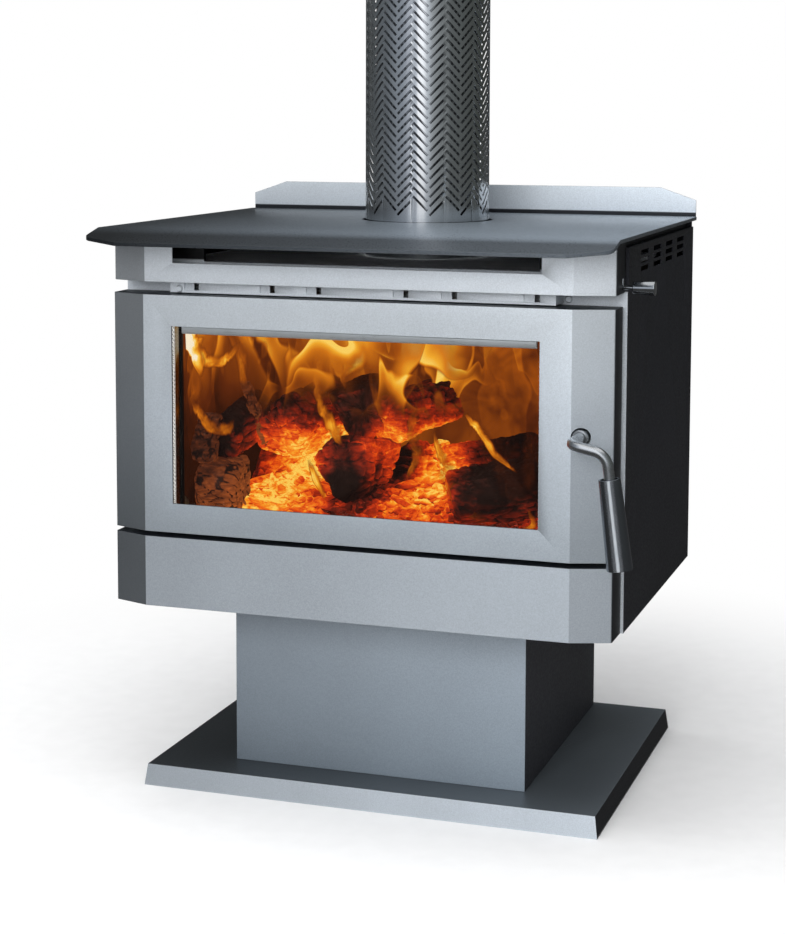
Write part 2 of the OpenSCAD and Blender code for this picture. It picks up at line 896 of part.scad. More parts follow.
// Slide behind the air slots, with one port for each slot
module air_slide() {
    z0 = channel_z0 + channel_t + 0.4;
    z1 = channel_z1 - channel_t - 0.4;
    port_z1 = slot_z0 + slot_h + 1;
    right = slot_centres[5] - slot_w / 2 + slot_cover;
    color(bare_steel) {
        difference() {
            block([slide_left, slide_y, z0], [lug_x + slide_t, slide_y + slide_t, z1]);
            for (x = slot_centres) block(
                [x - slot_w / 2 + slot_cover, slide_y - eps, z0 - eps],
                [x == slot_centres[5] ? lug_x + 2 * slide_t : x + slot_w / 2 + slot_cover,
                 slide_y + slide_t + eps, port_z1]
            );
        }
        block(
            [lug_x, slide_y + slide_t - 0.01, air_rod_z - 6],
            [lug_x + slide_t, air_rod_y + 5, z1]
        );
    }
}

knob_x = front_x + air_knob_gap;
module air_rod() {
    color(stainless) translate([0, air_rod_y, air_rod_z])
        rod_x(air_rod_d / 2, lug_x + slide_t, knob_x + 0.5);
}

module air_knob() {
    color("#d4d7da") translate([knob_x, air_rod_y, air_rod_z]) rotate([0, 90, 0]) difference() {
        rotate_extrude($fn = 64) polygon(rounded(
            [[0, 0], [8, 0], [9.5, air_knob_len], [0, air_knob_len]], [0, 1, 1.5, 0]
        ));
        translate([0, 0, -eps]) cylinder(r = air_rod_d / 2, h = eps + 0.5);
    }
}

// ---------- fittings on the front plate ----------

module front_studs() {
    stud_z = slot_z0 + 1.5;
    color(silver_paint) {
        translate([-slot_centres[5] - slot_w / 2 - 7, channel_y, stud_z]) rotate([90, 0, 0])
            cylinder(r1 = 5.2, r2 = 3.4, h = 3.5);
        translate([channel_x + 7, frame_y, stud_z]) rotate([90, 0, 0])
            cylinder(r1 = 5.2, r2 = 3.4, h = 3.5);
    }
}

// Lug below each door knuckle, welded to the firebox front
module hinge_brackets() {
    color(bare_steel) for (z = hinge_zs) translate([0, 0, z - 0.5 - lug_t]) difference() {
        union() {
            translate([hinge_x, hinge_y, 0]) cylinder(d = knuckle_d, h = lug_t);
            block([hinge_x - knuckle_d / 2, hinge_y, 0], [hinge_x + 12, frame_y, lug_t]);
        }
        translate([hinge_x, hinge_y, -eps]) cylinder(d = pin_d, h = lug_t + 2 * eps);
    }
}

module hinge_pins() {
    color(zinc) for (z = hinge_zs)
        translate([hinge_x, hinge_y, z - 0.5 - lug_t]) cylinder(d = pin_d, h = lug_t + knuckle_h + 4);
}

module latch_keeper() {
    lip_y = finger_y - finger_gap;
    lip_w = 14;
    z0 = handle_z - keeper_h / 2;
    color(bare_steel) {
        block([keeper_x, lip_y - keeper_t, z0], [keeper_x + keeper_t, frame_y, z0 + keeper_h]);
        block([keeper_x - lip_w, lip_y - keeper_t, z0], [keeper_x + 0.01, lip_y, z0 + keeper_h]);
        block(
            [keeper_x - lip_w, frame_y - keeper_t, z0],
            [keeper_x + 0.01, frame_y, z0 + keeper_h]
        );
    }
}

// ---------- door ----------

// Outline shared by the door's front sheet
module door_outline(t = 0, overrun = 0) {
    polygon(front_outline(face_y, facet_d, door_back + overrun, t));
}

module door_panel() {
    notch_y = hinge_y - knuckle_d / 2 - 3;
    color(silver_paint) difference() {
        translate([0, 0, door_z0]) linear_extrude(door_h) door_outline();
        translate([0, 0, door_z0 + door_t]) linear_extrude(door_h - 2 * door_t)
            door_outline(door_t, eps);
        block(
            [-window_x, face_y - eps, window_z - window_half_h],
            [window_x, face_y + 2 * door_t, window_z + window_half_h]
        );
        translate([handle_x, 0, handle_z]) rod_y(bush_hole_d / 2, face_y - eps, face_y + 20);
        for (z = hinge_zs) block(
            [-front_x - eps, notch_y, z - lug_t - 5],
            [door_t + 1 - front_x, door_back + eps, z + knuckle_h + 9]
        );
    }
}

// Wall around the glass and the channel that holds the sealing rope
module door_frame() {
    lip_y = rope_seat + lip_reach;
    color(black_paint) {
        window_ring(seat_x, seat_z, wall_x, wall_z, face_y + door_t, lip_y);
        window_ring(
            seat_x + rope_room + lip_t, seat_z + rope_room + lip_t, seat_x - 1, seat_z - 1,
            rope_seat - lip_t, rope_seat
        );
        window_ring(
            seat_x + rope_room + lip_t, seat_z + rope_room + lip_t,
            seat_x + rope_room, seat_z + rope_room, rope_seat - 0.01, lip_y
        );
    }
}

module door_rope() {
    offset_out = rope_room / 2;
    color(rope_white) rope_ring(
        seat_x + offset_out, seat_z + offset_out, door_rope_d / 2 - 0.05, offset_out + 1, rope_y
    );
}

// Strap and knuckle of each hinge, fixed to the door's frame
module door_hinges() {
    strap_t = 4;
    strap_y = rope_seat - lip_t - strap_t;
    color(bare_steel) for (z = hinge_zs) translate([0, 0, z]) difference() {
        union() {
            translate([hinge_x, hinge_y, 0]) cylinder(d = knuckle_d, h = knuckle_h);
            block([hinge_x, strap_y, 0], [-seat_x, strap_y + strap_t, knuckle_h]);
        }
        translate([hinge_x, hinge_y, -eps])
            cylinder(r = pin_d / 2 + pin_play, h = knuckle_h + 2 * eps);
    }
}

module door_glass() {
    color("#31312c", 0.35) block(
        [-glass_x, glass_front, window_z - glass_z],
        [glass_x, glass_back, window_z + glass_z]
    );
}

module glass_rope() {
    r = glass_rope_d / 2;
    color(rope_white) rope_ring(
        window_x + r - 2, window_half_h + r + 1.2, r - 0.05, r + 3, glass_front - r
    );
}

// Rounded bar across the top of the window, in front of the glass
module glass_top_rail() {
    rail_h = 11;
    y0 = face_y + door_t + 0.2;
    depth = glass_rope_d - 0.4;
    z1 = window_z + window_half_h + 0.8;
    left = window_x - 13.5;
    right = window_x - 5;
    color(stainless) translate([-left, 0, 0]) rotate([90, 0, 90]) linear_extrude(left + right)
        polygon(rounded(
            [[y0 + depth, z1 - rail_h], [y0 + depth, z1], [y0, z1], [y0, z1 - rail_h]],
            [0.5, 0.5, 3, 3]
        ));
}

retainer_w = 14;
retainer_t = 3;
module glass_retainers() {
    inner_x = wall_x - retainer_w;
    inner_z = wall_z - retainer_w;
    y1 = glass_back + retainer_t;
    color(bare_steel) difference() {
        union() {
            both_sides() block(
                [inner_x, glass_back, window_z - inner_z + 1],
                [wall_x - 0.5, y1, window_z + inner_z - 1]
            );
            for (s = [0, 1]) translate([0, 0, window_z]) mirror([0, 0, s])
                block([0.5 - wall_x, glass_back, inner_z], [wall_x - 0.5, y1, wall_z - 0.5]);
        }
        retainer_places() rod_y(2.2, glass_back - eps, y1 + eps);
    }
}

// Places of the screws that hold the retainers
module retainer_places() {
    x = wall_x - wall_gap / 2;
    z = wall_z - wall_gap / 2;
    for (sx = [-1, 1], sz = [-1, 1]) {
        translate([sx * x, 0, window_z + sz * inner_screw_z]) children();
        translate([sx * inner_screw_x, 0, window_z + sz * z]) children();
    }
}

inner_screw_z = wall_z / 2;
inner_screw_x = wall_x * 0.62;
module retainer_screws() {
    color(zinc) retainer_places() {
        rod_y(2, face_y + door_t, glass_back + retainer_t + 0.01);
        rod_y(2.8, face_y + door_t, face_y + door_t + 5);
        rod_y(3.4, glass_back + retainer_t, glass_back + retainer_t + 2.5);
    }
}

// ---------- handle and latch ----------

// Bush of the handle's bar, on a bracket that reaches over from the door's frame
module handle_bush() {
    plate_y = bush_back - 9;
    plate_r = 15;
    bracket_t = 5;
    color(silver_paint) difference() {
        union() {
            translate([handle_x, 0, handle_z]) {
                rod_y(bush_d / 2, bush_front, bush_back);
                rod_y(plate_r, plate_y, plate_y + bracket_t);
            }
            block(
                [seat_x, plate_y, handle_z - plate_r],
                [handle_x, plate_y + bracket_t, handle_z + plate_r]
            );
        }
        translate([handle_x, 0, handle_z])
            rod_y(bar_d / 2 + bar_play, bush_front - eps, bush_back + eps);
    }
}

// Places its children at the handle's axis with +X along the bar's outer run
module at_run() {
    translate([handle_x, run_y, handle_z]) rotate([0, run_slope, 0]) children();
}

// Places its children at the second bend's corner with -Z along the grip
module at_drop() {
    at_run() translate([run_len, 0, 0]) rotate([0, -run_slope - grip_tilt, 0]) children();
}

module handle_bar() {
    r = bar_d / 2;
    bulge = 0.02; // the bends are this much thicker than the straights
    lap = 0.4; // the straights reach this far into the bends
    color(stainless) {
        translate([handle_x, 0, handle_z]) rod_y(r, run_y + first_bend_r - lap, shaft_end);
        at_run() {
            translate([first_bend_r, first_bend_r, 0]) rotate([0, 0, 180])
                rotate_extrude(angle = 90) translate([first_bend_r, 0]) circle(r = r + bulge);
            rod_x(r, first_bend_r - lap, run_len - bend_tangent + lap);
            translate([run_len - bend_tangent, 0, -second_bend_r]) rotate([90, 0, 0])
                rotate([0, 0, 90 - drop_angle]) rotate_extrude(angle = drop_angle)
                    translate([second_bend_r, 0]) circle(r = r + bulge);
        }
        at_drop() translate([0, 0, -drop_len - bar_in_grip])
            cylinder(r = r, h = drop_len + bar_in_grip - bend_tangent + lap);
    }
}

// Hollow cone with an open top; its lower part is solid around the bar
module handle_grip() {
    top_r = grip_top_d / 2;
    end_r = grip_end_d / 2;
    solid_l = 22;
    mid_r = end_r - (end_r - top_r) * solid_l / grip_len;
    color(stainless) at_drop() translate([0, 0, -drop_len - grip_len]) difference() {
        cylinder(r1 = end_r, r2 = top_r, h = grip_len, $fn = 64);
        translate([0, 0, solid_l]) cylinder(
            r1 = mid_r - grip_wall, r2 = top_r - grip_wall, h = grip_len - solid_l + 0.01, $fn = 64
        );
        translate([0, 0, grip_len - bar_in_grip]) cylinder(d = bar_d, h = grip_len);
    }
}

module latch_finger() {
    color(zinc) translate([handle_x, 0, handle_z]) difference() {
        union() {
            rod_y(11, finger_y, finger_y + finger_t);
            block([0, finger_y, -finger_w / 2], [finger_len, finger_y + finger_t, finger_w / 2]);
            translate([0, finger_y + finger_t, 0]) rotate([-90, 0, 0])
                cylinder(d = 20, h = 6, $fn = 6);
        }
        rod_y(bar_d / 2, finger_y - eps, shaft_end + eps);
    }
}

base_tray();
base_rails();
base_cross_rail();
pedestal_front();
pedestal_left();
pedestal_right();
pedestal_back();
pedestal_top_ring();
pedestal_bolts();
underbody_panel();
support_rails();
firebox_front();
firebox_floor();
firebox_left();
firebox_right();
firebox_back();
firebox_roof();
side_panel_left();
side_panel_right();
rear_panel();
top_rails();
panel_screws();
top_plate();
rear_upstand();
top_fascia();
lower_valance();
flue_collar();
flue_pipe();
flue_casing();
flue_spacers();
floor_bricks();
left_bricks();
right_bricks();
rear_bricks();
baffle();
baffle_rails();
log_guard();
airwash_channel();
airwash_deflector();
front_studs();
hinge_brackets();
hinge_pins();
latch_keeper();
door_panel();
door_frame();
door_rope();
door_hinges();
door_glass();
glass_rope();
glass_top_rail();
glass_retainers();
retainer_screws();
handle_bush();
handle_bar();
handle_grip();
latch_finger();
air_slide();
air_rod();
air_knob();
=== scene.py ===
"""Wood burning stove: materials, bevelled sheet metal, perforated flue shield, ropes, glass and fire,
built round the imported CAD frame. Metres, CAD frame: +Z up, +Y to the back, origin below the flue."""
import bpy, bmesh, json, math, random
from functools import reduce
from math import cos, sin, radians, pi
from mathutils import Vector, Matrix, noise

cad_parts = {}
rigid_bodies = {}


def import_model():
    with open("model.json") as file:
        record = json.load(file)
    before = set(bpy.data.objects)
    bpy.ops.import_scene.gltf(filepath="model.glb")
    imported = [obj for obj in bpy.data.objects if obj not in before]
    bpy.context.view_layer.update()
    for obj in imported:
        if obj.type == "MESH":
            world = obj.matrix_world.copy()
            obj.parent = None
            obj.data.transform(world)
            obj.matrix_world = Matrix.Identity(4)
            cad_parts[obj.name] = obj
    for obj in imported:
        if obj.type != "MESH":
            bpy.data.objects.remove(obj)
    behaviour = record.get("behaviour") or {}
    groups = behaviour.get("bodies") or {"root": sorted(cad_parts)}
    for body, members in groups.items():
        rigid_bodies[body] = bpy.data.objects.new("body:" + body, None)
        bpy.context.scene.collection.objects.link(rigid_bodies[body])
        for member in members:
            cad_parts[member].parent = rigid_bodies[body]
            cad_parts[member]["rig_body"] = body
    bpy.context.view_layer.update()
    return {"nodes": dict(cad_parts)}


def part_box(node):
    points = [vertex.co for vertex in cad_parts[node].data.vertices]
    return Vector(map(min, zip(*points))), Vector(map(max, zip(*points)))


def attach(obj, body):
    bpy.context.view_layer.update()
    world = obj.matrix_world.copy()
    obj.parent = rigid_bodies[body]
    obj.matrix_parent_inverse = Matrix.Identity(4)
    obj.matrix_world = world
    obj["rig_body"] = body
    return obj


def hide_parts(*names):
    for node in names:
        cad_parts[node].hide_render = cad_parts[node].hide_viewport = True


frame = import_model()
NODES = frame["nodes"]
SCENE = bpy.context.scene
MM = 0.001


# ---------------- shader helpers
NOISE_SPAN = (0.3, 0.7)  # nearly all values of a noise texture lie between these


def srgb(r, g, b):
    """A colour as it reads on screen, 0 to 255, in linear light."""
    def lin(c):
        c /= 255
        return c / 12.92 if c <= 0.04045 else ((c + 0.055) / 1.055) ** 2.4
    return (lin(r), lin(g), lin(b), 1.0)


class Tree:
    """A node tree written as expressions: inputs are numbers, colours or other nodes' sockets."""

    def __init__(self, owner):
        owner.use_nodes = True
        self.owner, self.tree = owner, owner.node_tree
        self.tree.nodes.clear()
        self._co = None

    def add(self, kind, inputs=None, **props):
        n = self.tree.nodes.new(kind)
        for k, v in props.items():
            setattr(n, k, v)
        for k, v in (inputs or {}).items():
            self.put(n.inputs[k], v)
        return n

    def put(self, socket, v):
        if isinstance(v, bpy.types.NodeSocket):
            self.tree.links.new(v, socket)
        elif hasattr(v, "__len__") and socket.type == "VECTOR":
            socket.default_value = v[:3]
        elif hasattr(v, "__len__") and socket.type == "RGBA":
            socket.default_value = (*v[:3], 1.0)
        else:
            socket.default_value = v

    def co(self, kind):
        if self._co is None:
            self._co = self.add("ShaderNodeTexCoord")
        return self._co.outputs[kind]

    def attribute(self, name):
        return self.add("ShaderNodeAttribute", attribute_name=name).outputs["Fac"]

    def xyz(self, v):
        s = self.add("ShaderNodeSeparateXYZ", {0: v})
        return s.outputs[0], s.outputs[1], s.outputs[2]

    def math(self, op, a, b=None, clamp=False):
        inputs = {0: a} if b is None else {0: a, 1: b}
        return self.add("ShaderNodeMath", inputs, operation=op, use_clamp=clamp).outputs[0]

    def plus(self, *parts):
        return reduce(lambda a, b: self.math("ADD", a, b), parts)

    def times(self, *parts):
        return reduce(lambda a, b: self.math("MULTIPLY", a, b), parts)

    def size(self, v):
        return self.math("ABSOLUTE", v)

    def vmath(self, op, a, b=None, scale=None):
        inputs = {0: a} if b is None else {0: a, 1: b}
        if scale is not None:
            inputs["Scale"] = scale
        n = self.add("ShaderNodeVectorMath", inputs, operation=op)
        return n.outputs["Value" if op in ("LENGTH", "DOT_PRODUCT", "DISTANCE") else 0]

    def scaled(self, colour, k):
        """A colour or vector times a number."""
        return self.vmath("SCALE", colour, scale=k)

    def span(self, v, a, b, c=0.0, d=1.0, kind="SMOOTHSTEP"):
        """From c to d while v goes from a to b."""
        return self.add("ShaderNodeMapRange", {0: v, 1: a, 2: b, 3: c, 4: d},
                        interpolation_type=kind).outputs[0]

    def vary(self, v, low, high):
        """A noise texture's values spread evenly from low to high."""
        return self.span(v, *NOISE_SPAN, low, high, "LINEAR")

    def noise(self, v, scale, detail=2.0, rough=0.5, warp=0.0, out="Fac"):
        return self.add("ShaderNodeTexNoise", {"Vector": v, "Scale": scale, "Detail": detail,
                        "Roughness": rough, "Distortion": warp}).outputs[out]

    def ramp(self, fac, stops):
        n = self.add("ShaderNodeValToRGB", {0: fac})
        e = n.color_ramp.elements
        while len(e) < len(stops):
            e.new(0.5)
        for el, (pos, colour) in zip(e, stops):
            el.position, el.color = pos, colour if len(colour) == 4 else (*colour, 1.0)
        return n.outputs[0]

    def mix(self, fac, a, b):
        """From colour a to colour b."""
        n = self.add("ShaderNodeMix", data_type="RGBA")
        for i, v in ((0, fac), (6, a), (7, b)):
            self.put(n.inputs[i], v)
        return n.outputs[2]

    def bump(self, height, strength, distance):
        inputs = {"Height": height, "Strength": strength, "Distance": distance}
        return self.add("ShaderNodeBump", inputs).outputs[0]

    def surface(self, shader):
        world = isinstance(self.owner, bpy.types.World)
        self.add("ShaderNodeOutputWorld" if world else "ShaderNodeOutputMaterial", {"Surface": shader})
        return self.owner

    def principled(self, **inputs):
        named = {k.replace("_", " "): v for k, v in inputs.items()}
        return self.surface(self.add("ShaderNodeBsdfPrincipled", named).outputs[0])

    def light(self, colour, strength=1.0):
        return self.add("ShaderNodeEmission", {"Color": colour, "Strength": strength}).outputs[0]

    def clear(self, colour=(1, 1, 1, 1)):
        return self.add("ShaderNodeBsdfTransparent", {"Color": colour}).outputs[0]

    def shaders(self, fac, a, b):
        """The surface that goes from shader a to shader b."""
        return self.surface(self.add("ShaderNodeMixShader", {0: fac, 1: a, 2: b}).outputs[0])

    def background_rays(self):
        """1 for the rays that show the white background, 0 for those that light the stove."""
        path = self.add("ShaderNodeLightPath").outputs
        mirrored = self.math("MAXIMUM", path["Is Glossy Ray"], path["Is Transmission Ray"])
        return self.math("MAXIMUM", path["Is Camera Ray"], mirrored)


def material(name):
    return Tree(bpy.data.materials.new(name))


def not_a_lamp(m):
    """Keeps a glowing material out of Cycles' list of lamps."""
    m.cycles.emission_sampling = "NONE"
    return m


# ---------------- materials
SIDE_SHADE = srgb(36, 38, 43)  # painted shade: colour of the paint's faces that look sideways
UP_SHADE = srgb(52, 57, 63)  # and painted shade of those that look up
TURNED = (0.10, 0.30)  # the normal's part along X over which a face counts as turned to one side
SIDEWAYS = (0.50, 0.93)  # and over which it counts as looking along X
SWEEP_X = 0.33  # a sweep, a painted fall of light, runs across X from minus this to this
CLOUD = 0.04  # how far the paint's tone drifts over the stove
DARK_ZONE_COLOUR, DARK_ZONE_EDGE = (0.010, 0.010, 0.010, 1), 0.003  # colour of the black round the doorway and at the warm air duct, and width of its edge
GLASS_GLOSS = 0.022  # part of the light that the glass reflects when met square on


def paint(name, colour, side=None, up=None, metal=0.40, rough=0.44, grain=0.10, fade=None,
          facet=(0.6, 1.0), sweep=None, sweep_up=None, flat=(0.35, 0.85), dark_zone=None):
    """Metallic stove paint: fine flake, slight orange peel, soft cloudiness.

    Faces that look along X take the colour side and faces that look up take the colour up: painted shade,
    and on the top plate a painted reflection; flat is the normal's part along Z over which they do. facet
    darkens the faces turned partly to the left and to the right as painted shade, sweep and sweep_up grade
    colour and up across X as a painted fall of light, and fade, (z0, z1, stops), colours by height as
    painted light and shade. The last argument, (half width, top, start of the duct), makes it black round
    the doorway and at the warm air duct."""
    t = material(name)
    p = t.co("Object")
    x, _, z = t.xyz(p)
    nx, _, nz = t.xyz(t.co("Normal"))
    flake = t.noise(p, 620, 2, 0.7)
    tone = t.plus(t.vary(flake, -grain, grain), t.vary(t.noise(p, 1500, 1, 0.5), -grain * 0.5, grain * 0.5),
                  t.vary(t.noise(p, 7, 2, 0.5), -CLOUD, CLOUD), 1.0)

    def swept(c, pair):
        return t.scaled(c, t.span(x, -SWEEP_X, SWEEP_X, *pair, "LINEAR")) if pair else c

    # fade and sweep: painted fall of light by height and across X
    base = colour
    if fade:
        z0, z1, stops = fade
        base = t.ramp(t.span(z, z0, z1, kind="LINEAR"), stops)
    base = swept(base, sweep)
    # facet: painted shade on the faces turned partly to the left or right
    left, right = t.span(t.times(nx, -1.0), *TURNED), t.span(nx, *TURNED)
    base = t.mix(right, t.mix(left, base, t.scaled(base, facet[0])), t.scaled(base, facet[1]))
    # painted shade on the faces that look along X, and on those that look up
    if side:
        base = t.mix(t.span(t.size(nx), *SIDEWAYS), base, side)
    if up:
        base = t.mix(t.span(nz, *flat), base, swept(up, sweep_up))
    # black round the doorway and at the warm air duct
    if dark_zone:
        half, top, duct = dark_zone
        outside = t.span(t.size(x), half, half + DARK_ZONE_EDGE)
        clean = t.math("MAXIMUM", outside, t.span(z, top, top + DARK_ZONE_EDGE))
        clean = t.times(clean, t.span(z, duct, duct + DARK_ZONE_EDGE, 1.0, 0.0))
        base = t.mix(clean, DARK_ZONE_COLOUR, base)
    peel = t.plus(t.noise(p, 260, 2, 0.6), t.times(flake, 0.6))
    return t.principled(Base_Color=t.scaled(base, tone), Metallic=metal, Normal=t.bump(peel, 0.10, 0.0006),
                        Roughness=t.vary(flake, rough - 0.05, rough + 0.07))


def black(name, colour):
    """Near-black satin paint with orange peel."""
    t = material(name)
    p = t.co("Object")
    tone = t.times(t.vary(t.noise(p, 500, 2, 0.6), 0.80, 1.22), t.vary(t.noise(p, 5, 3, 0.5), 0.92, 1.1))
    peel = t.noise(p, 300, 2, 0.6)
    return t.principled(Base_Color=t.scaled(colour, tone), Roughness=t.vary(peel, 0.44, 0.58),
                        Specular_IOR_Level=0.3, Normal=t.bump(peel, 0.12, 0.0005))


def steel(name, colour, rough, streak, spread, metal=1.0, bump=0.0):
    """Bare metal with brushing along one axis; streak gives the pattern's scale along X, Y and Z."""
    t = material(name)
    p = t.co("Object")
    lines = t.noise(t.vmath("MULTIPLY", p, streak), 1.0, 3, 0.65)
    soft = t.noise(p, 18, 3, 0.6)
    tone = t.times(t.vary(lines, 1 - spread, 1 + spread), t.vary(soft, 0.93, 1.06))
    r = t.plus(t.vary(lines, rough - 0.03, rough + 0.05), t.span(soft, 0.35, 0.75, -0.02, 0.05, "LINEAR"))
    return t.principled(Base_Color=t.scaled(colour, tone), Metallic=metal, Roughness=r,
                        Normal=t.bump(lines, bump, 0.0004))


def steel_painted_highlight(name, colour, line, where, streak):
    """Dark bare metal with a painted highlight: a pale line along the side whose normal looks towards where.
    """
    t = material(name)
    lines = t.noise(t.vmath("MULTIPLY", t.co("Object"), streak), 1.0, 3, 0.65)
    facing = t.vmath("DOT_PRODUCT", t.co("Normal"), Vector(where).normalized()[:])
    shoulder, core = t.span(facing, 0.88, 0.985, 0.0, 0.22), t.span(facing, 0.984, 0.9995, 0.0, 0.78)
    near = t.math("MULTIPLY", t.plus(shoulder, core), t.vary(lines, 0.85, 1.15), clamp=True)
    return t.principled(Base_Color=t.mix(near, colour, line), Roughness=t.vary(lines, 0.16, 0.26),
                        Metallic=t.math("SUBTRACT", 1.0, t.times(near, 0.75)),
                        Normal=t.bump(lines, 0.01, 0.0004))


def scaled_steel(name):
    """Firebox plate: mill scale, darkened and slightly rusted by heat."""
    t = material(name)
    p = t.co("Object")
    patch = t.noise(p, 9, 5, 0.62, 0.6)
    fine = t.noise(p, 240, 3, 0.6)
    base = t.ramp(patch, [(0.30, srgb(46, 44, 44)), (0.50, srgb(70, 66, 63)), (0.62, srgb(84, 70, 60)),
                          (0.78, srgb(60, 56, 56))])
    return t.principled(Base_Color=t.scaled(base, t.vary(fine, 0.8, 1.2)), Metallic=0.35,
                        Roughness=t.vary(patch, 0.5, 0.72), Normal=t.bump(fine, 0.25, 0.0006))


def firebrick(name):
    """Pitted refractory brick, sooted towards its top."""
    t = material(name)
    p = t.co("Object")
    pits = t.add("ShaderNodeTexVoronoi", {"Vector": p, "Scale": 260}).outputs["Distance"]
    patch = t.noise(p, 14, 5, 0.65, 0.4)
    speck = t.noise(p, 420, 2, 0.7)
    base = t.ramp(patch, [(0.30, srgb(122, 104, 82)), (0.50, srgb(186, 164, 130)),
                          (0.70, srgb(204, 184, 150))])
    height = t.plus(t.xyz(p)[2], t.times(patch, 0.16))
    base = t.mix(t.span(height, 0.47, 0.66, 0.0, 0.75), base, srgb(52, 46, 42))
    base = t.scaled(base, t.vary(speck, 0.82, 1.15))
    h = t.plus(t.span(pits, 0.0, 0.35), t.times(speck, 0.5))
    return t.principled(Base_Color=base, Roughness=0.92, Normal=t.bump(h, 0.5, 0.0009))


def rope_material(name):
    """Braided glass fibre: the weave attribute is 1 on the crowns of the strands and 0 in the grooves, which
    are painted dark as shade.
    """
    t = material(name)
    p = t.co("Object")
    fuzz = t.noise(p, 1400, 2, 0.7)
    # painted shade: dark grey in the grooves between the strands, pale on their crowns
    base = t.mix(t.span(t.attribute("weave"), 0.15, 0.62), srgb(54, 54, 52), srgb(214, 214, 208))
    base = t.scaled(base, t.vary(fuzz, 0.80, 1.12))
    base = t.mix(t.span(t.noise(p, 22, 3, 0.6), 0.50, 0.72, 0.0, 0.30), base, srgb(120, 112, 100))
    return t.principled(Base_Color=base, Roughness=0.85, Sheen_Weight=0.25, Normal=t.bump(fuzz, 0.3, 0.0004))


def glass_material(name):
    """Thin clear ceramic glass: what is behind shows through a faint smoky tint, with gloss on top.

    The gloss is Schlick's curve on Facing, because a Fresnel node would reflect everything inside the plate
    from about 48 degrees on."""
    t = material(name)
    smear = t.noise(t.co("Object"), 9, 4, 0.6, 0.8)
    tint = t.mix(t.span(smear, 0.45, 0.75, 0.0, 0.10), (1.0, 0.985, 0.96, 1), (0.80, 0.74, 0.66, 1))
    rough = t.span(smear, 0.4, 0.8, 0.03, 0.12)
    gloss = t.add("ShaderNodeBsdfGlossy", {"Color": (1, 1, 1, 1), "Roughness": rough}).outputs[0]
    facing = t.add("ShaderNodeLayerWeight", {"Blend": 0.5}).outputs["Facing"]
    share = t.plus(t.times(t.math("POWER", facing, 5.0), 1 - GLASS_GLOSS), GLASS_GLOSS)
    return t.shaders(share, t.clear(tint), gloss)


FINE = (2600, 2600, 2600)  # scale of a grain too fine to see its direction
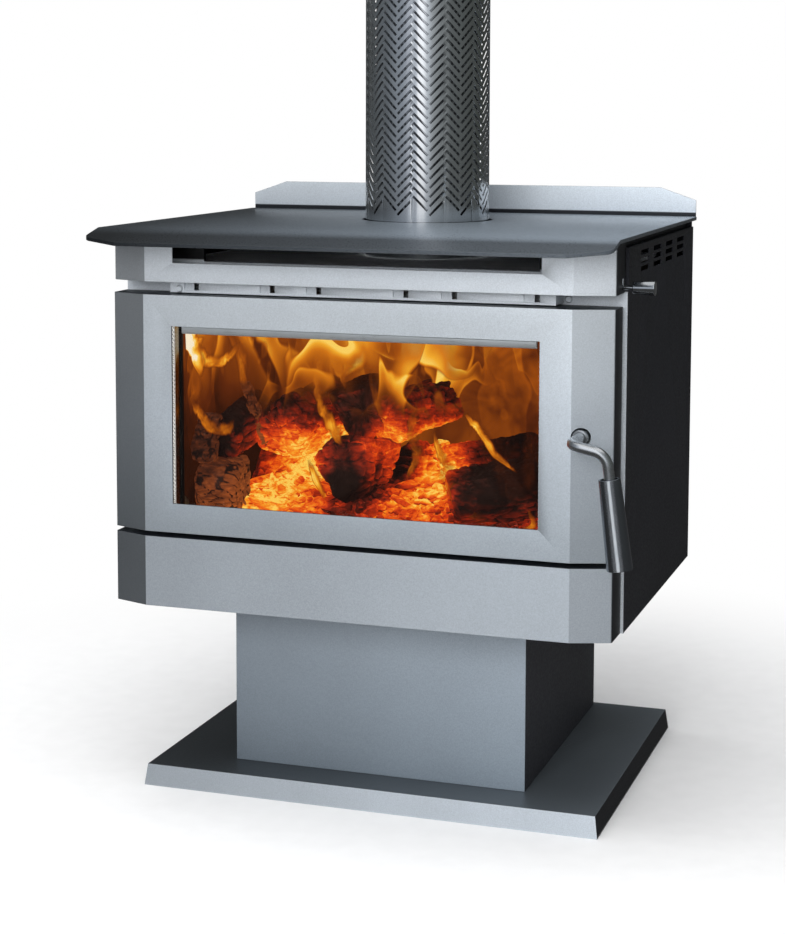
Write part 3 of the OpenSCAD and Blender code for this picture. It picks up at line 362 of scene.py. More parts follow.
# where the firebox front turns black: half width of the doorway, and heights 10 mm under and over the air
# channel
DARK_ZONE_BOUNDS = (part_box("firebox_right")[0].x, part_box("airwash_channel")[0].z - 0.010,
             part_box("airwash_channel")[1].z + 0.010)
# The silver paints below are copies of one paint, each toned to the light its part gets: painted light and
# shade. The door's and the pedestal's fades, darker low down, and every sweep are a painted fall of light.
M = {
    "silver": paint("silver_paint", srgb(186, 194, 201), SIDE_SHADE, UP_SHADE, facet=(0.35, 0.74),
                    sweep=(0.70, 1.0), fade=(0.38, 0.70, [
                        (0.0, srgb(156, 164, 171)), (0.5, srgb(184, 192, 200)), (1.0, srgb(203, 210, 216))])),
    "fascia": paint("silver_paint_fascia", srgb(202, 208, 214), SIDE_SHADE, UP_SHADE, facet=(0.44, 0.93),
                    sweep=(0.755, 1.015)),
    "silver_low": paint("silver_paint_low", srgb(158, 165, 172), SIDE_SHADE, UP_SHADE, facet=(0.29, 0.77),
                        sweep=(0.82, 1.19)),
    # The rear upstand: the dark band at its foot is a painted shadow line where it meets the top plate, and
    # the sweep a painted fall of light, lighter to the right.
    "silver_high": paint("silver_paint_high", srgb(190, 197, 203), SIDE_SHADE, UP_SHADE, sweep=(1.0, 1.30), fade=(
        0.793, 0.834, [(0.0, srgb(28, 30, 34)), (0.13, srgb(28, 30, 34)), (0.16, srgb(178, 185, 192)),
                       (1.0, srgb(196, 203, 209))])),
    "silver_recess": paint("silver_paint_recess", srgb(205, 211, 217)),
    "front": paint("silver_paint_firebox", srgb(205, 211, 217), SIDE_SHADE, dark_zone=DARK_ZONE_BOUNDS),
    # The pedestal's front: a darker copy, darker still to the left and low down, as painted shade.
    "pedestal": paint("pedestal_paint", srgb(150, 160, 171), SIDE_SHADE, UP_SHADE, sweep=(0.606, 1.226), fade=(
        0.03, 0.25, [(0.0, srgb(138, 150, 161)), (1.0, srgb(158, 168, 178))])),
    # The base tray: its front flange and its top, in the up colour, graded across X as a painted fall of
    # light, strongest on the top.
    "tray": paint("tray_paint", srgb(194, 202, 210), SIDE_SHADE, srgb(62, 67, 71), sweep=(0.627, 1.10),
                  sweep_up=(0.72, 2.8)),
    # The top plate: its nose, darker to the left, is painted shade, and its top, lightening strongly to the
    # right, a painted reflection.
    "plate": paint("charcoal_paint", srgb(76, 82, 88), None, srgb(84, 91, 98), metal=0.30, rough=0.30,
                   grain=0.12, facet=(1.0, 1.0), sweep=(0.11, 1.10), sweep_up=(0.32, 2.9),
                   flat=(0.978, 0.995)),
    "black": black("black_paint", srgb(34, 35, 40)),
    # A lighter copy of the black paint for the pedestal's sides: painted light where the lamps reach them
    # less.
    "black_low": black("black_paint_low", srgb(52, 53, 58)),
    "scale": scaled_steel("heat_scaled_steel"),
    "casing": steel("stainless_shield", (0.62, 0.635, 0.65, 1), 0.13, (900, 900, 6), 0.03),
    "pipe": steel("stainless_pipe", (0.42, 0.43, 0.45, 1), 0.17, (700, 700, 5), 0.06),
    "polished": steel("satin_steel_bar", (0.60, 0.62, 0.64, 1), 0.28, FINE, 0.03),
    "knob": steel("turned_steel_knob", (0.46, 0.48, 0.50, 1), 0.14, FINE, 0.03),
    # The grip's pale line is a painted highlight.
    "grip": steel_painted_highlight("dark_steel_grip", (0.27, 0.29, 0.32, 1), (0.40, 0.43, 0.46, 1), (0.10, -0.99, 0.08),
                        (900, 900, 60)),
    "roof": steel("aluminised_sheet", (0.90, 0.93, 0.97, 1), 0.60, (5, 700, 700), 0.30, 0.0, 0.02),
    "rail": steel("window_rail_steel", (0.42, 0.44, 0.45, 1), 0.30, (8, 2600, 2600), 0.04, 0.7),
    "zinc": steel("zinc_plate", (0.60, 0.60, 0.60, 1), 0.34, (300, 300, 300), 0.12, bump=0.05),
    "frame": steel("glazed_soot_steel", (0.20, 0.19, 0.18, 1), 0.20, (200, 200, 200), 0.15, bump=0.02),
    "brick": firebrick("firebrick"),
    "rope": rope_material("glass_fibre_rope"),
    "glass": glass_material("door_glass"),
}


# ---------------- pieces made from the CAD meshes
COPLANAR = radians(0.6)  # faces that meet at less than this are one flat face


def dissolved(node):
    """The node's mesh with its corners welded and its flat faces joined, as a new bmesh. Faces around an
    opening go back to triangles, because bevelling one that folds round a hole can close it."""
    bm = bmesh.new()
    bm.from_mesh(NODES[node].data)
    bmesh.ops.remove_doubles(bm, verts=bm.verts, dist=1e-6)
    bmesh.ops.dissolve_limit(bm, angle_limit=COPLANAR, verts=bm.verts, edges=bm.edges)
    flat = {f for e in bm.edges if len(e.link_faces) == 2 and e.calc_face_angle(0) < COPLANAR
            for f in e.link_faces}
    bmesh.ops.triangulate(bm, faces=[f for f in bm.faces if f in flat and len(f.verts) > 4])
    return bm


def thing(name, bm, mat):
    """An object made from a bmesh."""
    me = bpy.data.meshes.new(name)
    bm.to_mesh(me)
    bm.free()
    me.materials.append(mat)
    o = bpy.data.objects.new(name, me)
    SCENE.collection.objects.link(o)
    return o


def piece(name, bm, mat, body, smooth):
    """A thing that rides on a body; edges sharper than smooth, in degrees, stay sharp."""
    for f in bm.faces:
        f.smooth = True
    for e in bm.edges:
        e.smooth = len(e.link_faces) == 2 and e.calc_face_angle(0) < radians(smooth)
    o = thing(name, bm, mat)
    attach(o, body)
    return o


# A bevelled copy stands for each of these nodes: material, width of the bevel in mm, slot.
for node, mat, width, slot in (
    ("airwash_channel", "silver_recess", 0.4, "silver_paint"),
    ("door_panel", "silver", 0.9, "silver_paint"), ("lower_valance", "silver_low", 0.8, "silver_paint"),
    ("top_fascia", "fascia", 0.6, "silver_paint"), ("rear_upstand", "silver_high", 0.6, "silver_paint"),
    ("pedestal_front", "pedestal", 0.8, "silver_paint"), ("base_tray", "tray", 0.6, "charcoal_paint"),
    ("top_plate", "plate", 0.9, "charcoal_paint"), ("firebox_front", "front", 0.5, "silver_paint"),
    ("handle_bush", "polished", 0.8, "silver_paint"),
    ("side_panel_left", "black", 0.5, "black_paint"), ("side_panel_right", "black", 0.5, "black_paint"),
    ("rear_panel", "black", 0.5, "black_paint"), ("door_frame", "frame", 0.5, "black_paint"),
    ("pedestal_left", "black_low", 0.6, "black_paint"), ("pedestal_right", "black_low", 0.6, "black_paint"),
    ("pedestal_back", "black_low", 0.6, "black_paint"), ("top_rails", "black", 0.4, "black_paint"),
    ("floor_bricks", "brick", 1.2, "firebrick"), ("left_bricks", "brick", 1.2, "firebrick"),
    ("right_bricks", "brick", 1.2, "firebrick"), ("rear_bricks", "brick", 1.2, "firebrick"),
    ("baffle", "brick", 1.2, "firebrick"), ("log_guard", "scale", 0.6, "bare_steel"),
    ("handle_grip", "grip", 0.7, "polished_steel"), ("glass_top_rail", "rail", 0.9, "stainless"),
    ("door_hinges", "scale", 0.5, "bare_steel"), ("hinge_brackets", "scale", 0.5, "bare_steel"),
    ("glass_retainers", "scale", 0.4, "bare_steel"), ("latch_keeper", "scale", 0.4, "bare_steel"),
):
    o = piece("look_" + node, dissolved(node), M[mat], NODES[node]["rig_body"], 30)
    b = o.modifiers.new("edges", "BEVEL")
    b.width, b.segments, b.limit_method, b.angle_limit = width * MM, 2, "ANGLE", radians(32)
    b.harden_normals, b.use_clamp_overlap, b.miter_outer = True, True, "MITER_ARC"
    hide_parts(node)

# These nodes stay as they are.
for node, mat in {
    "handle_bar": "polished", "air_knob": "knob", "air_rod": "knob", "latch_finger": "zinc",
    "flue_pipe": "pipe", "flue_spacers": "pipe", "flue_collar": "scale", "front_studs": "silver_recess",
    "panel_screws": "zinc", "pedestal_bolts": "zinc", "retainer_screws": "zinc", "hinge_pins": "zinc",
    "underbody_panel": "black", "pedestal_top_ring": "black", "base_rails": "black",
    "base_cross_rail": "black", "support_rails": "scale", "firebox_floor": "scale",
    "firebox_left": "scale", "firebox_right": "scale", "firebox_back": "scale", "firebox_roof": "roof",
    "baffle_rails": "scale", "airwash_deflector": "scale", "air_slide": "silver_recess",
    "door_glass": "glass",
}.items():
    NODES[node].data.materials.clear()
    NODES[node].data.materials.append(M[mat])


# ---------------- perforated flue shield
SHEET = 0.8 * MM
LOWEST = 0.802  # height at which the slots begin
PLAIN = 0.014  # height of the plain strip above them
SEAM = radians(71.4)  # where the columns of slots begin, turned back from +X


def flue_shield():
    """Sheet with a herringbone of slots, rolled round the flue. Each column of slots is one chain of bands
    between neighbouring slots; columns lean in turn and every second one is half a pitch higher."""
    lo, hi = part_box("flue_casing")
    r = (hi.x - lo.x) / 2 - SHEET / 2
    columns, steps = 24, 5  # steps: faces along one slot
    pitch, width, lean = 13.0 * MM, 3.5 * MM, radians(45)  # of the slots
    step = 2 * pi * r / columns
    length = (step * 0.985 - width * sin(lean)) / cos(lean)
    first = LOWEST + (length / 2) * sin(lean) + width / 2 * cos(lean)
    rows = int((hi.z - PLAIN - first - (length / 2) * sin(lean)) / pitch)
    bm = bmesh.new()
    place = {}

    def vert(p):
        """The vertex at p on the unrolled sheet, made once and found again across the seam."""
        u, v = p.x % (2 * pi * r), p.y
        key = (round(u * 1e7), round(v * 1e7))
        if key not in place:
            a = u / r - SEAM
            place[key] = bm.verts.new((r * cos(a), r * sin(a), v))
        return place[key]

    sides = []
    for c in range(columns):
        sign = 1 if c % 2 == 0 else -1
        lift = 0 if c % 2 == 0 else pitch / 2
        d = Vector((cos(lean), sin(lean) * sign))
        n = Vector((-sin(lean) * sign, cos(lean)))
        lines = []
        for k in range(rows):
            centre = Vector(((c + 0.5) * step, first + lift + k * pitch))
            for edge in (-1, 1):
                lines.append([centre + n * edge * width / 2 + d * length * (i / steps - 0.5)
                              for i in range(steps + 1)])
        foot = [Vector((p.x, lo.z)) for p in lines[0]]
        head = [Vector((p.x, hi.z)) for p in lines[-1]]
        lines = [foot, *lines, head]
        for a, b in zip(lines[::2], lines[1::2]):
            for i in range(steps):
                bm.faces.new([vert(a[i]), vert(a[i + 1]), vert(b[i + 1]), vert(b[i])])
        sides.append(([l[0] for l in lines], [l[-1] for l in lines]))
    for c in range(columns):
        left = sides[c][1]
        right = sides[(c + 1) % columns][0]
        if c == columns - 1:
            right = [Vector((p.x + 2 * pi * r, p.y)) for p in right]
        i = j = 0
        while i < len(left) - 1 or j < len(right) - 1:
            if j == len(right) - 1 or (i < len(left) - 1 and left[i + 1].y <= right[j + 1].y):
                bm.faces.new([vert(left[i]), vert(right[j]), vert(left[i + 1])])
                i += 1
            else:
                bm.faces.new([vert(left[i]), vert(right[j]), vert(right[j + 1])])
                j += 1
    bmesh.ops.recalc_face_normals(bm, faces=bm.faces)
    o = piece("flue_shield", bm, M["casing"], "stove", 60)
    s = o.modifiers.new("sheet", "SOLIDIFY")
    s.thickness, s.offset = SHEET, 0.0
    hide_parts("flue_casing")


flue_shield()


# ---------------- ropes
def skin(bm, a, b):
    """Faces between two closed rings of vertices."""
    n = len(a)
    for j in range(n):
        bm.faces.new([a[j], a[(j + 1) % n], b[(j + 1) % n], b[j]])


def braided_ring(name, node, corner):
    """A braided rope on the door along a rounded rectangle in the X-Z plane, from the node's own box."""
    per_corner, sides = 8, 16  # steps round a corner of the path, and round the rope
    spacing, lay = 1.4 * MM, 11 * MM  # between rings, and for one turn of the braid
    lo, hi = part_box(node)
    mid, r = (lo + hi) / 2, (hi.y - lo.y) / 2
    hx, hz = (hi.x - lo.x) / 2 - r - corner, (hi.z - lo.z) / 2 - r - corner
    path = []
    for sx, sz, a0 in ((1, 1, 0), (-1, 1, 90), (-1, -1, 180), (1, -1, 270)):
        for k in range(per_corner + 1):
            a = radians(a0 + k * 90 / per_corner)
            path.append(Vector((mid.x + sx * hx + corner * cos(a), mid.y, mid.z + sz * hz + corner * sin(a))))
    dense, along, total = [], [], 0.0
    for i, p in enumerate(path):
        q = path[(i + 1) % len(path)]
        n = max(1, round((q - p).length / spacing))
        for k in range(n):
            dense.append(p.lerp(q, k / n))
            along.append(total + (q - p).length * k / n)
        total += (q - p).length
    turns = round(total / lay)
    bm = bmesh.new()
    weave = bm.verts.layers.float.new("weave")
    rings = []
    count = len(dense)
    for i, p in enumerate(dense):
        t = (dense[(i + 1) % count] - dense[i - 1]).normalized()
        b = Vector((0, 1, 0))
        n = t.cross(b)
        ring = []
        for k in range(sides):
            a = 2 * pi * k / sides
            s = 2 * pi * turns * along[i] / total
            w = min(1.0, abs(sin(3 * a + s)) * abs(sin(3 * a - s)) * 1.6)
            v = bm.verts.new(p + (n * cos(a) + b * sin(a)) * r * (0.90 + 0.10 * w))
            v[weave] = w
            ring.append(v)
        rings.append(ring)
    for i in range(count):
        skin(bm, rings[i], rings[(i + 1) % count])
    bmesh.ops.recalc_face_normals(bm, faces=bm.faces)
    o = piece(name, bm, M["rope"], "door", 180)
    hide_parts(node)


braided_ring("glass_rope_braid", "glass_rope", 6 * MM)
braided_ring("door_rope_braid", "door_rope", 7 * MM)


# ---------------- fire (fuel, not product)
# The fire's places are in mm in the CAD frame, for side bricks that begin at Y -255 and Z 355, half way
# between them in X. These three keep them in place if the bricks move.
FIRE_X = (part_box("left_bricks")[1].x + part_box("right_bricks")[0].x) / 2
FIRE_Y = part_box("left_bricks")[0].y + 0.255
FIRE_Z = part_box("left_bricks")[0].z - 0.355


def fire_at(x, y, z):
    return Vector((FIRE_X + x * MM, FIRE_Y + y * MM, FIRE_Z + z * MM))


HEAT = (  # of logs and embers: x, z, radius, amount
    (-160, 424, 62, 0.44), (-206, 404, 46, 0.34), (-120, 398, 60, 0.24), (30, 425, 40, 0.32),
    (0, 378, 78, 0.02), (8, 500, 44, 0.32), (-142, 486, 46, 0.22), (-205, 492, 30, 0.24),
    (-92, 470, 30, 0.28), (62, 466, 44, 0.34), (-50, 428, 27, -0.55), (-62, 535, 34, -0.10),
    (170, 432, 56, -0.22), (-252, 489, 34, -0.25), (70, 420, 34, 0.10), (110, 392, 52, 0.10),
    (-250, 500, 60, -0.10), (215, 385, 40, 0.24), (150, 470, 60, 0.10), (120, 372, 60, 0.10),
    (66, 452, 42, 0.24), (-100, 520, 50, 0.12), (-155, 478, 50, 0.14), (-21, 494, 24, 0.22),
    (-10, 392, 46, 0.22),
)


SPREAD = 1.9  # a spot has faded out at so many times its radius


def spots(t, x, z, where):
    """Sum of soft round spots in the X-Z plane: x, z, radius, amount."""
    flat = t.add("ShaderNodeCombineXYZ", {0: x, 2: z}).outputs[0]
    return t.plus(*(t.span(t.vmath("DISTANCE", flat, (FIRE_X + hx * MM, 0.0, FIRE_Z + hz * MM)),
                           0.0, SPREAD * r * MM, amount, 0.0) for hx, hz, r, amount in where))


# Colours from cold to hot for the coals; for the bark, from unlit to lit by the fire, which is painted
# firelight.
COALS = [(0.0, srgb(14, 5, 4)), (0.12, srgb(44, 12, 7)), (0.26, srgb(90, 22, 10)), (0.42, srgb(152, 36, 11)),
         (0.56, srgb(208, 58, 12)), (0.70, srgb(238, 100, 18)), (0.86, srgb(250, 154, 34)),
         (1.0, srgb(255, 208, 90))]
BARK_PAINTED_FIRELIGHT = [(0.0, srgb(10, 5, 4)), (0.15, srgb(34, 15, 9)), (0.35, srgb(78, 36, 18)), (0.55, srgb(126, 62, 28)),
        (0.75, srgb(170, 86, 38)), (1.0, srgb(224, 120, 44))]


def charred(name, painted_firelight_bark=False, lift=0.0, lean=-0.13):
    """Burning wood: char plates between glowing cracks; the crack attribute comes from the mesh. lift adds
    heat all over, and lean adds glow where the surface looks up, as painted firelight: negative on logs, so
    they glow more where they look down to the embers, and positive on embers. On bark the glow is painted
    firelight."""
    t = material(name)
    p = t.co("Object")
    x, _, z = t.xyz(p)
    nz = t.xyz(t.co("Normal"))[2]
    crack = t.attribute("crack")
    fine = t.noise(p, 34, 5, 0.62, 0.5)
    grain = t.noise(t.vmath("MULTIPLY", p, (60, 60, 170)), 1.0, 4, 0.62, 0.6)
    # the normal's Z times lean is painted firelight: glow set by which way the surface looks
    heat = t.plus(spots(t, x, z, HEAT), t.span(fine, 0.25, 0.75, -0.17 + lift, 0.17 + lift, "LINEAR"),
                  t.times(nz, lean))
    # bark does not glow: its glow here is painted firelight falling on it
    if painted_firelight_bark:
        tone = t.plus(t.vary(grain, 0.20, 0.54), t.times(heat, 0.30))
        glow = t.ramp(t.times(tone, t.span(crack, 0.36, 0.9, 1.0, 0.06)), BARK_PAINTED_FIRELIGHT)
    else:
        tone = t.times(t.plus(heat, 0.10), t.span(grain, 0.28, 0.72, 0.62, 1.25, "LINEAR"))
        cold = t.times(crack, t.span(heat, 0.25, 0.62, -0.20, 0.16))
        glow = t.ramp(t.plus(tone, cold), COALS)
    base = t.ramp(fine, [(0.3, srgb(14, 8, 6)), (0.6, srgb(30, 18, 14)), (0.8, srgb(58, 40, 34))])
    return not_a_lamp(t.principled(
        Base_Color=base, Roughness=0.9, Specular_IOR_Level=0.15, Emission_Color=glow, Emission_Strength=1.0,
        Normal=t.bump(t.plus(grain, fine), 0.4, 0.0012)))


def log(name, centre, direction, length, radius, seed, mat, cell, sides, flat=0.86):
    """A split log: a rounded polygon in section, swept, roughened and cracked into char plates. cell is the
    plates' size, and flat, under 1, how far the section's sides may come in."""
    rnd = random.Random(seed)
    d = Vector(direction).normalized()
    u = d.cross(Vector((0, 0, 1))).normalized() if abs(d.z) < 0.9 else Vector((1, 0, 0))
    v = d.cross(u)
    turn = rnd.uniform(0, 6.28)
    faces = [(turn + 2 * pi * (k + rnd.uniform(-0.22, 0.22)) / sides, rnd.uniform(flat, 1.0))
             for k in range(sides)]
    pitch, rounded = 2.6, 9  # mm between vertices, and mm rounded at the ends
    corner = 9  # how sharp the section's corners are

    def section(a):
        s = 0.0
        for fa, fh in faces:
            c = cos(a - fa)
            if c > 0:
                s += (c / fh) ** corner
        return s ** (-1 / corner)

    off = Vector((seed * 37.0, seed * 11.0, seed * 5.0))
    rings, m = max(8, int(length / pitch)), max(24, int(2 * pi * radius / pitch))
    bm = bmesh.new()
    crack = bm.verts.layers.float.new("crack")

    def put(s, a, k):
        """A point at s along the log (-0.5 to 0.5), angle a, and k of the section's radius."""
        end = max(0.0, (abs(s) - 0.5 + rounded / length) / (rounded / length))
        r = radius * section(a) * k * (1 - 0.16 * end * end)
        out = u * cos(a) + v * sin(a)
        p = Vector(centre) + d * (s * length) + out * r
        n = out if k > 0.98 else d * (1 if s > 0 else -1)
        at = p + off
        big = (noise.noise(at * 0.013) * radius * 0.20 + noise.noise(at * 0.05) * 3.0
               + noise.noise(at * 0.16) * 1.1)
        q = at / cell
        q = Vector((q.dot(d) * 0.62, q.dot(u), q.dot(v))) \
            + Vector((noise.noise(q * 1.3), noise.noise(q * 1.3 + off), 0)) * 0.25
        dist, _ = noise.voronoi(q)
        c = max(0.0, 1 - (dist[1] - dist[0]) / 0.16)
        p = p + n * (big - 3.4 * c * c + (0.9 if c == 0 else 0.0))
        w = bm.verts.new(fire_at(*p))
        w[crack] = c
        return w

    def ring(s, k):
        return [put(s, 2 * pi * j / m, k) for j in range(m)]

    grid = [ring(i / (rings - 1) - 0.5, 1.0) for i in range(rings)]
    for a, b in zip(grid, grid[1:]):
        skin(bm, a, b)
    caps = max(3, int(radius / 5))
    for s, loop in ((-0.5, grid[0]), (0.5, grid[-1])):
        for k in range(1, caps):
            inner = ring(s, 0.97 * (1 - k / caps))
            skin(bm, loop, inner)
            loop = inner
        tip = put(s, 0.0, 0.0)
        for j in range(m):
            bm.faces.new([loop[j], loop[(j + 1) % m], tip])
    bmesh.ops.recalc_face_normals(bm, faces=bm.faces)
    piece(name, bm, mat, "stove", 60)


CHAR = charred("charred_wood")
PAINTED_FIRELIGHT_BARK = charred("scorched_bark_painted_firelight", painted_firelight_bark=True)
HOT = charred("glowing_wood", lift=0.16)
log("log_left_low", (-238, -204, 420), (1.0, 0.16, -0.10), 60, 47, 3, PAINTED_FIRELIGHT_BARK, 17, 6)
log("log_left_high", (-252, -224, 492), (0.06, 0.32, 0.94), 66, 17, 8, PAINTED_FIRELIGHT_BARK, 12, 6, 0.9)
log("log_left_dark", (-232, -150, 500), (0.25, 0.95, 0.30), 110, 30, 5, CHAR, 17, 5)
log("log_left_strip", (-206, -152, 517), (0.33, 0.10, -0.94), 100, 10, 6, PAINTED_FIRELIGHT_BARK, 13, 5)
log("log_back_left", (-150, -96, 508), (0.25, 0.95, 0.12), 150, 47, 12, CHAR, 19, 5, 0.8)
log("log_back_mid", (-62, -92, 524), (-0.30, 0.9, -0.1), 140, 40, 21, CHAR, 13, 4)
log("log_back_right", (10, -84, 522), (0.35, 0.9, 0.1), 140, 36, 29, HOT, 16, 5)
log("log_front_mid", (-46, -178, 457), (0.12, 0.95, -0.25), 92, 44, 33, CHAR, 21, 5, 0.74)
log("log_front_right", (162, -166, 430), (0.88, 0.40, 0.16), 146, 44, 40, CHAR, 13, 6, 0.84)
log("log_right_mid", (124, -96, 466), (0.9, -0.25, 0.22), 150, 28, 47, CHAR, 13, 5)


def strip(bm, a, b):
    """Faces between two open rows of vertices."""
    for k in range(len(a) - 1):
        bm.faces.new([a[k], b[k], b[k + 1], a[k + 1]])


def ember_bed():
    """A mound of glowing coals: a rough heap and loose lumps and sticks on it."""
    rnd = random.Random(77)

    def heap(amount, at, size):
        return amount * math.exp(-(at / size) ** 2)

    def height(x, y):
        h = 372 + heap(30, x + 150, 95) * heap(1, y + 110, 80)
        h += heap(22, x - 30, 120) * heap(1, y + 90, 90) + heap(10, y + 150, 70)
        h += heap(84, y - 40, 62) * (0.85 + 0.3 * noise.noise(Vector((x * 0.02, 5.0, 1.0))))
        return h + 8 * noise.noise(Vector((x, y, 3.0)) * 0.03)

    bm = bmesh.new()
    crack = bm.verts.layers.float.new("crack")
    nx, ny, brick_floor = 200, 110, 358
    grid = []
    for i in range(nx + 1):
        row = []
        for j in range(ny + 1):
            x, y = -268 + 536 * i / nx, -219 + 345 * j / ny
            dist, _ = noise.voronoi(Vector((x, y, 0)) / 15)
            c = max(0.0, 1 - (dist[1] - dist[0]) / 0.3)
            z = (height(x, y) + 5 * (1 - c) * min(1, 0.5 + dist[1])
                 + 2.2 * noise.noise(Vector((x, y, 9)) * 0.14))
            w = bm.verts.new(fire_at(x, y, max(z, brick_floor)))
            w[crack] = c
            row.append(w)
        grid.append(row)
    for a, b in zip(grid, grid[1:]):
        strip(bm, a, b)
    lumps, heaped = 420, 230  # the first of them lie on the left heap, the others all over
    for n in range(lumps):
        near = n < heaped
        x = rnd.gauss(-130, 75) if near else rnd.uniform(-255, 255)
        y = rnd.uniform(-212, -95) if near else rnd.uniform(-214, 40)
        x = max(-250, min(250, x))
        stick = rnd.random() < 0.35
        size = rnd.uniform(5.5, 11)
        stretch = Vector((rnd.uniform(2.0, 3.4) if stick else rnd.uniform(0.8, 1.5),
                          rnd.uniform(0.7, 1.1), rnd.uniform(0.6, 1.0)))
        made = bmesh.ops.create_icosphere(bm, subdivisions=2, radius=size)["verts"]
        rot = Matrix.Rotation(rnd.uniform(0, 6.28), 3, "Z") @ Matrix.Rotation(rnd.uniform(-0.7, 0.7), 3, "Y")
        c = Vector((x, y, height(x, y) + rnd.uniform(1, 12)))
        jitter = Vector((n * 3.1, n * 1.7, n * 0.9))
        for w in made:
            q = Vector(w.co)
            rough = 0.5 * noise.noise(q * 0.13 + jitter) + 0.2 * noise.noise(q * 0.4 + jitter)
            q += q.normalized() * size * rough
            q = Vector(round(e / (size * 0.32)) * size * 0.32 * 0.35 + e * 0.65 for e in q)
            q = Vector(a * b for a, b in zip(q, stretch))
            w.co = fire_at(*(rot @ q + c))
            w[crack] = 0.0
    bmesh.ops.recalc_face_normals(bm, faces=bm.faces)
    piece("ember_bed", bm, charred("embers", lift=0.05, lean=0.20), "stove", 40)


ember_bed()

FLAME = [(0.0, srgb(20, 6, 2)), (0.18, srgb(92, 38, 8)), (0.38, srgb(160, 78, 12)),
         (0.58, srgb(214, 122, 22)), (0.76, srgb(246, 176, 48)), (0.90, srgb(255, 214, 100)),
         (1.0, srgb(252, 240, 214))]
GLOW = (  # of the flames over the window: x, z, radius, amount
    (-70, 650, 110, 0.46), (-10, 640, 80, 0.36), (-250, 640, 50, 0.12), (232, 640, 105, -0.60),
    (215, 590, 60, -0.10), (115, 640, 46, -0.30), (-190, 640, 50, 0.14), (-190, 612, 34, -0.30),
    (-60, 570, 60, -0.08), (-262, 480, 70, -0.40), (60, 600, 60, 0.12), (-140, 560, 60, -0.16),
    (150, 520, 60, 0.10),
)


def folds(t, p, seed, scale, level, decay):
    """One flame front: a sharp bright edge along a level of warped noise, fading on one side."""
    soft, stretch = 0.02, 0.55
    q = t.vmath("MULTIPLY", t.vmath("ADD", p, (seed * 1.37, seed * 0.71, seed * 2.13)),
                (scale, scale, scale * stretch))
    for size, detail, amount in ((0.55, 2, 2.4), (1.3, 1, 0.9)):
        warp = t.vmath("SUBTRACT", t.noise(q, size, detail, 0.5, 0.0, "Color"), (0.5, 0.5, 0.5))
        q = t.vmath("ADD", q, t.scaled(warp, amount))
    over = t.math("SUBTRACT", t.noise(q, 0.8, 1, 0.4), level)
    fade = t.math("POWER", 2.718, t.times(t.math("MAXIMUM", over, 0.0), -decay))
    return t.times(t.span(over, 0.0, soft), fade)


WALL_X = (0.262, 0.269)  # distance from the middle over which the painted shade low on a side wall begins


def flame_look(name, seed, low, high, gain, layers, floor=0.0, opaque=False):
    """Flame light on a sheet: bright fronts over a soft body, clear where nothing burns. It comes in between
    the heights low and high; floor is a glow that stays below them, weaker low down on the side walls as
    painted shade."""
    t = material(name)
    p = t.co("Object")
    x, _, z = t.xyz(p)
    fronts = [t.times(folds(t, p, seed + 3.1 * k, scale, level, decay), amount)
              for k, (scale, level, decay, amount) in enumerate(layers)]
    drift = t.vmath("ADD", t.vmath("MULTIPLY", p, (1, 1, 0.6)), (seed, 0, seed))
    body = t.span(t.noise(drift, 8, 3, 0.5, 0.8), 0.32, 0.68, 0.0, 0.34)
    height = t.span(z, FIRE_Z + low * MM, FIRE_Z + high * MM)
    place = t.math("MAXIMUM", t.plus(spots(t, x, z, GLOW), gain), 0.15)
    under = t.times(t.span(t.noise(p, 11, 3, 0.6, 0.6), *NOISE_SPAN, 0.4, 1.9), floor)
    # painted shade: low down on the side walls the glow is weaker
    wall = t.span(z, FIRE_Z + 440 * MM, FIRE_Z + 600 * MM, 0.12, 0.55)
    on_wall = t.span(t.size(x), *WALL_X)
    under = t.times(under, t.add("ShaderNodeMix", {0: on_wall, 2: 1.0, 3: wall}).outputs[0])
    total = t.plus(t.times(t.plus(*fronts, body), t.times(height, place)), under)
    light = t.light(t.ramp(t.math("MINIMUM", total, 0.90), FLAME))
    if opaque:
        return not_a_lamp(t.surface(light))
    return not_a_lamp(t.shaders(t.span(total, 0.04, 0.62, 0.0, 0.97), t.clear(), light))


def flame_sheet(name, path, z0, z1, seed, wave, *look, **options):
    """An upright sheet over a path in X and Y, rippled in depth; below the doorway's sill it stays behind
    the plate. What follows wave goes to flame_look."""
    mat = flame_look(name, seed, *look, **options)
    bm = bmesh.new()
    pts = []
    for (xa, ya), (xb, yb) in zip(path, path[1:]):
        n = max(1, int(math.hypot(xb - xa, yb - ya) / 8))
        pts += [(xa + (xb - xa) * k / n, ya + (yb - ya) * k / n) for k in range(n)]
    pts.append(path[-1])
    rows, sill, plate = 30, 412, -250
    grid = []
    for x, y in pts:
        col = []
        for k in range(rows + 1):
            z = z0 + (z1 - z0) * k / rows
            out = y
            if -245 < y < 120:
                out += wave * noise.noise(Vector((x * 0.02, z * 0.014 + seed, seed * 1.9)))
            col.append(bm.verts.new(fire_at(x, out if z > sill else max(out, plate), z)))
        grid.append(col)
    for a, b in zip(grid, grid[1:]):
        strip(bm, a, b)
    piece(name, bm, mat, "stove", 180)


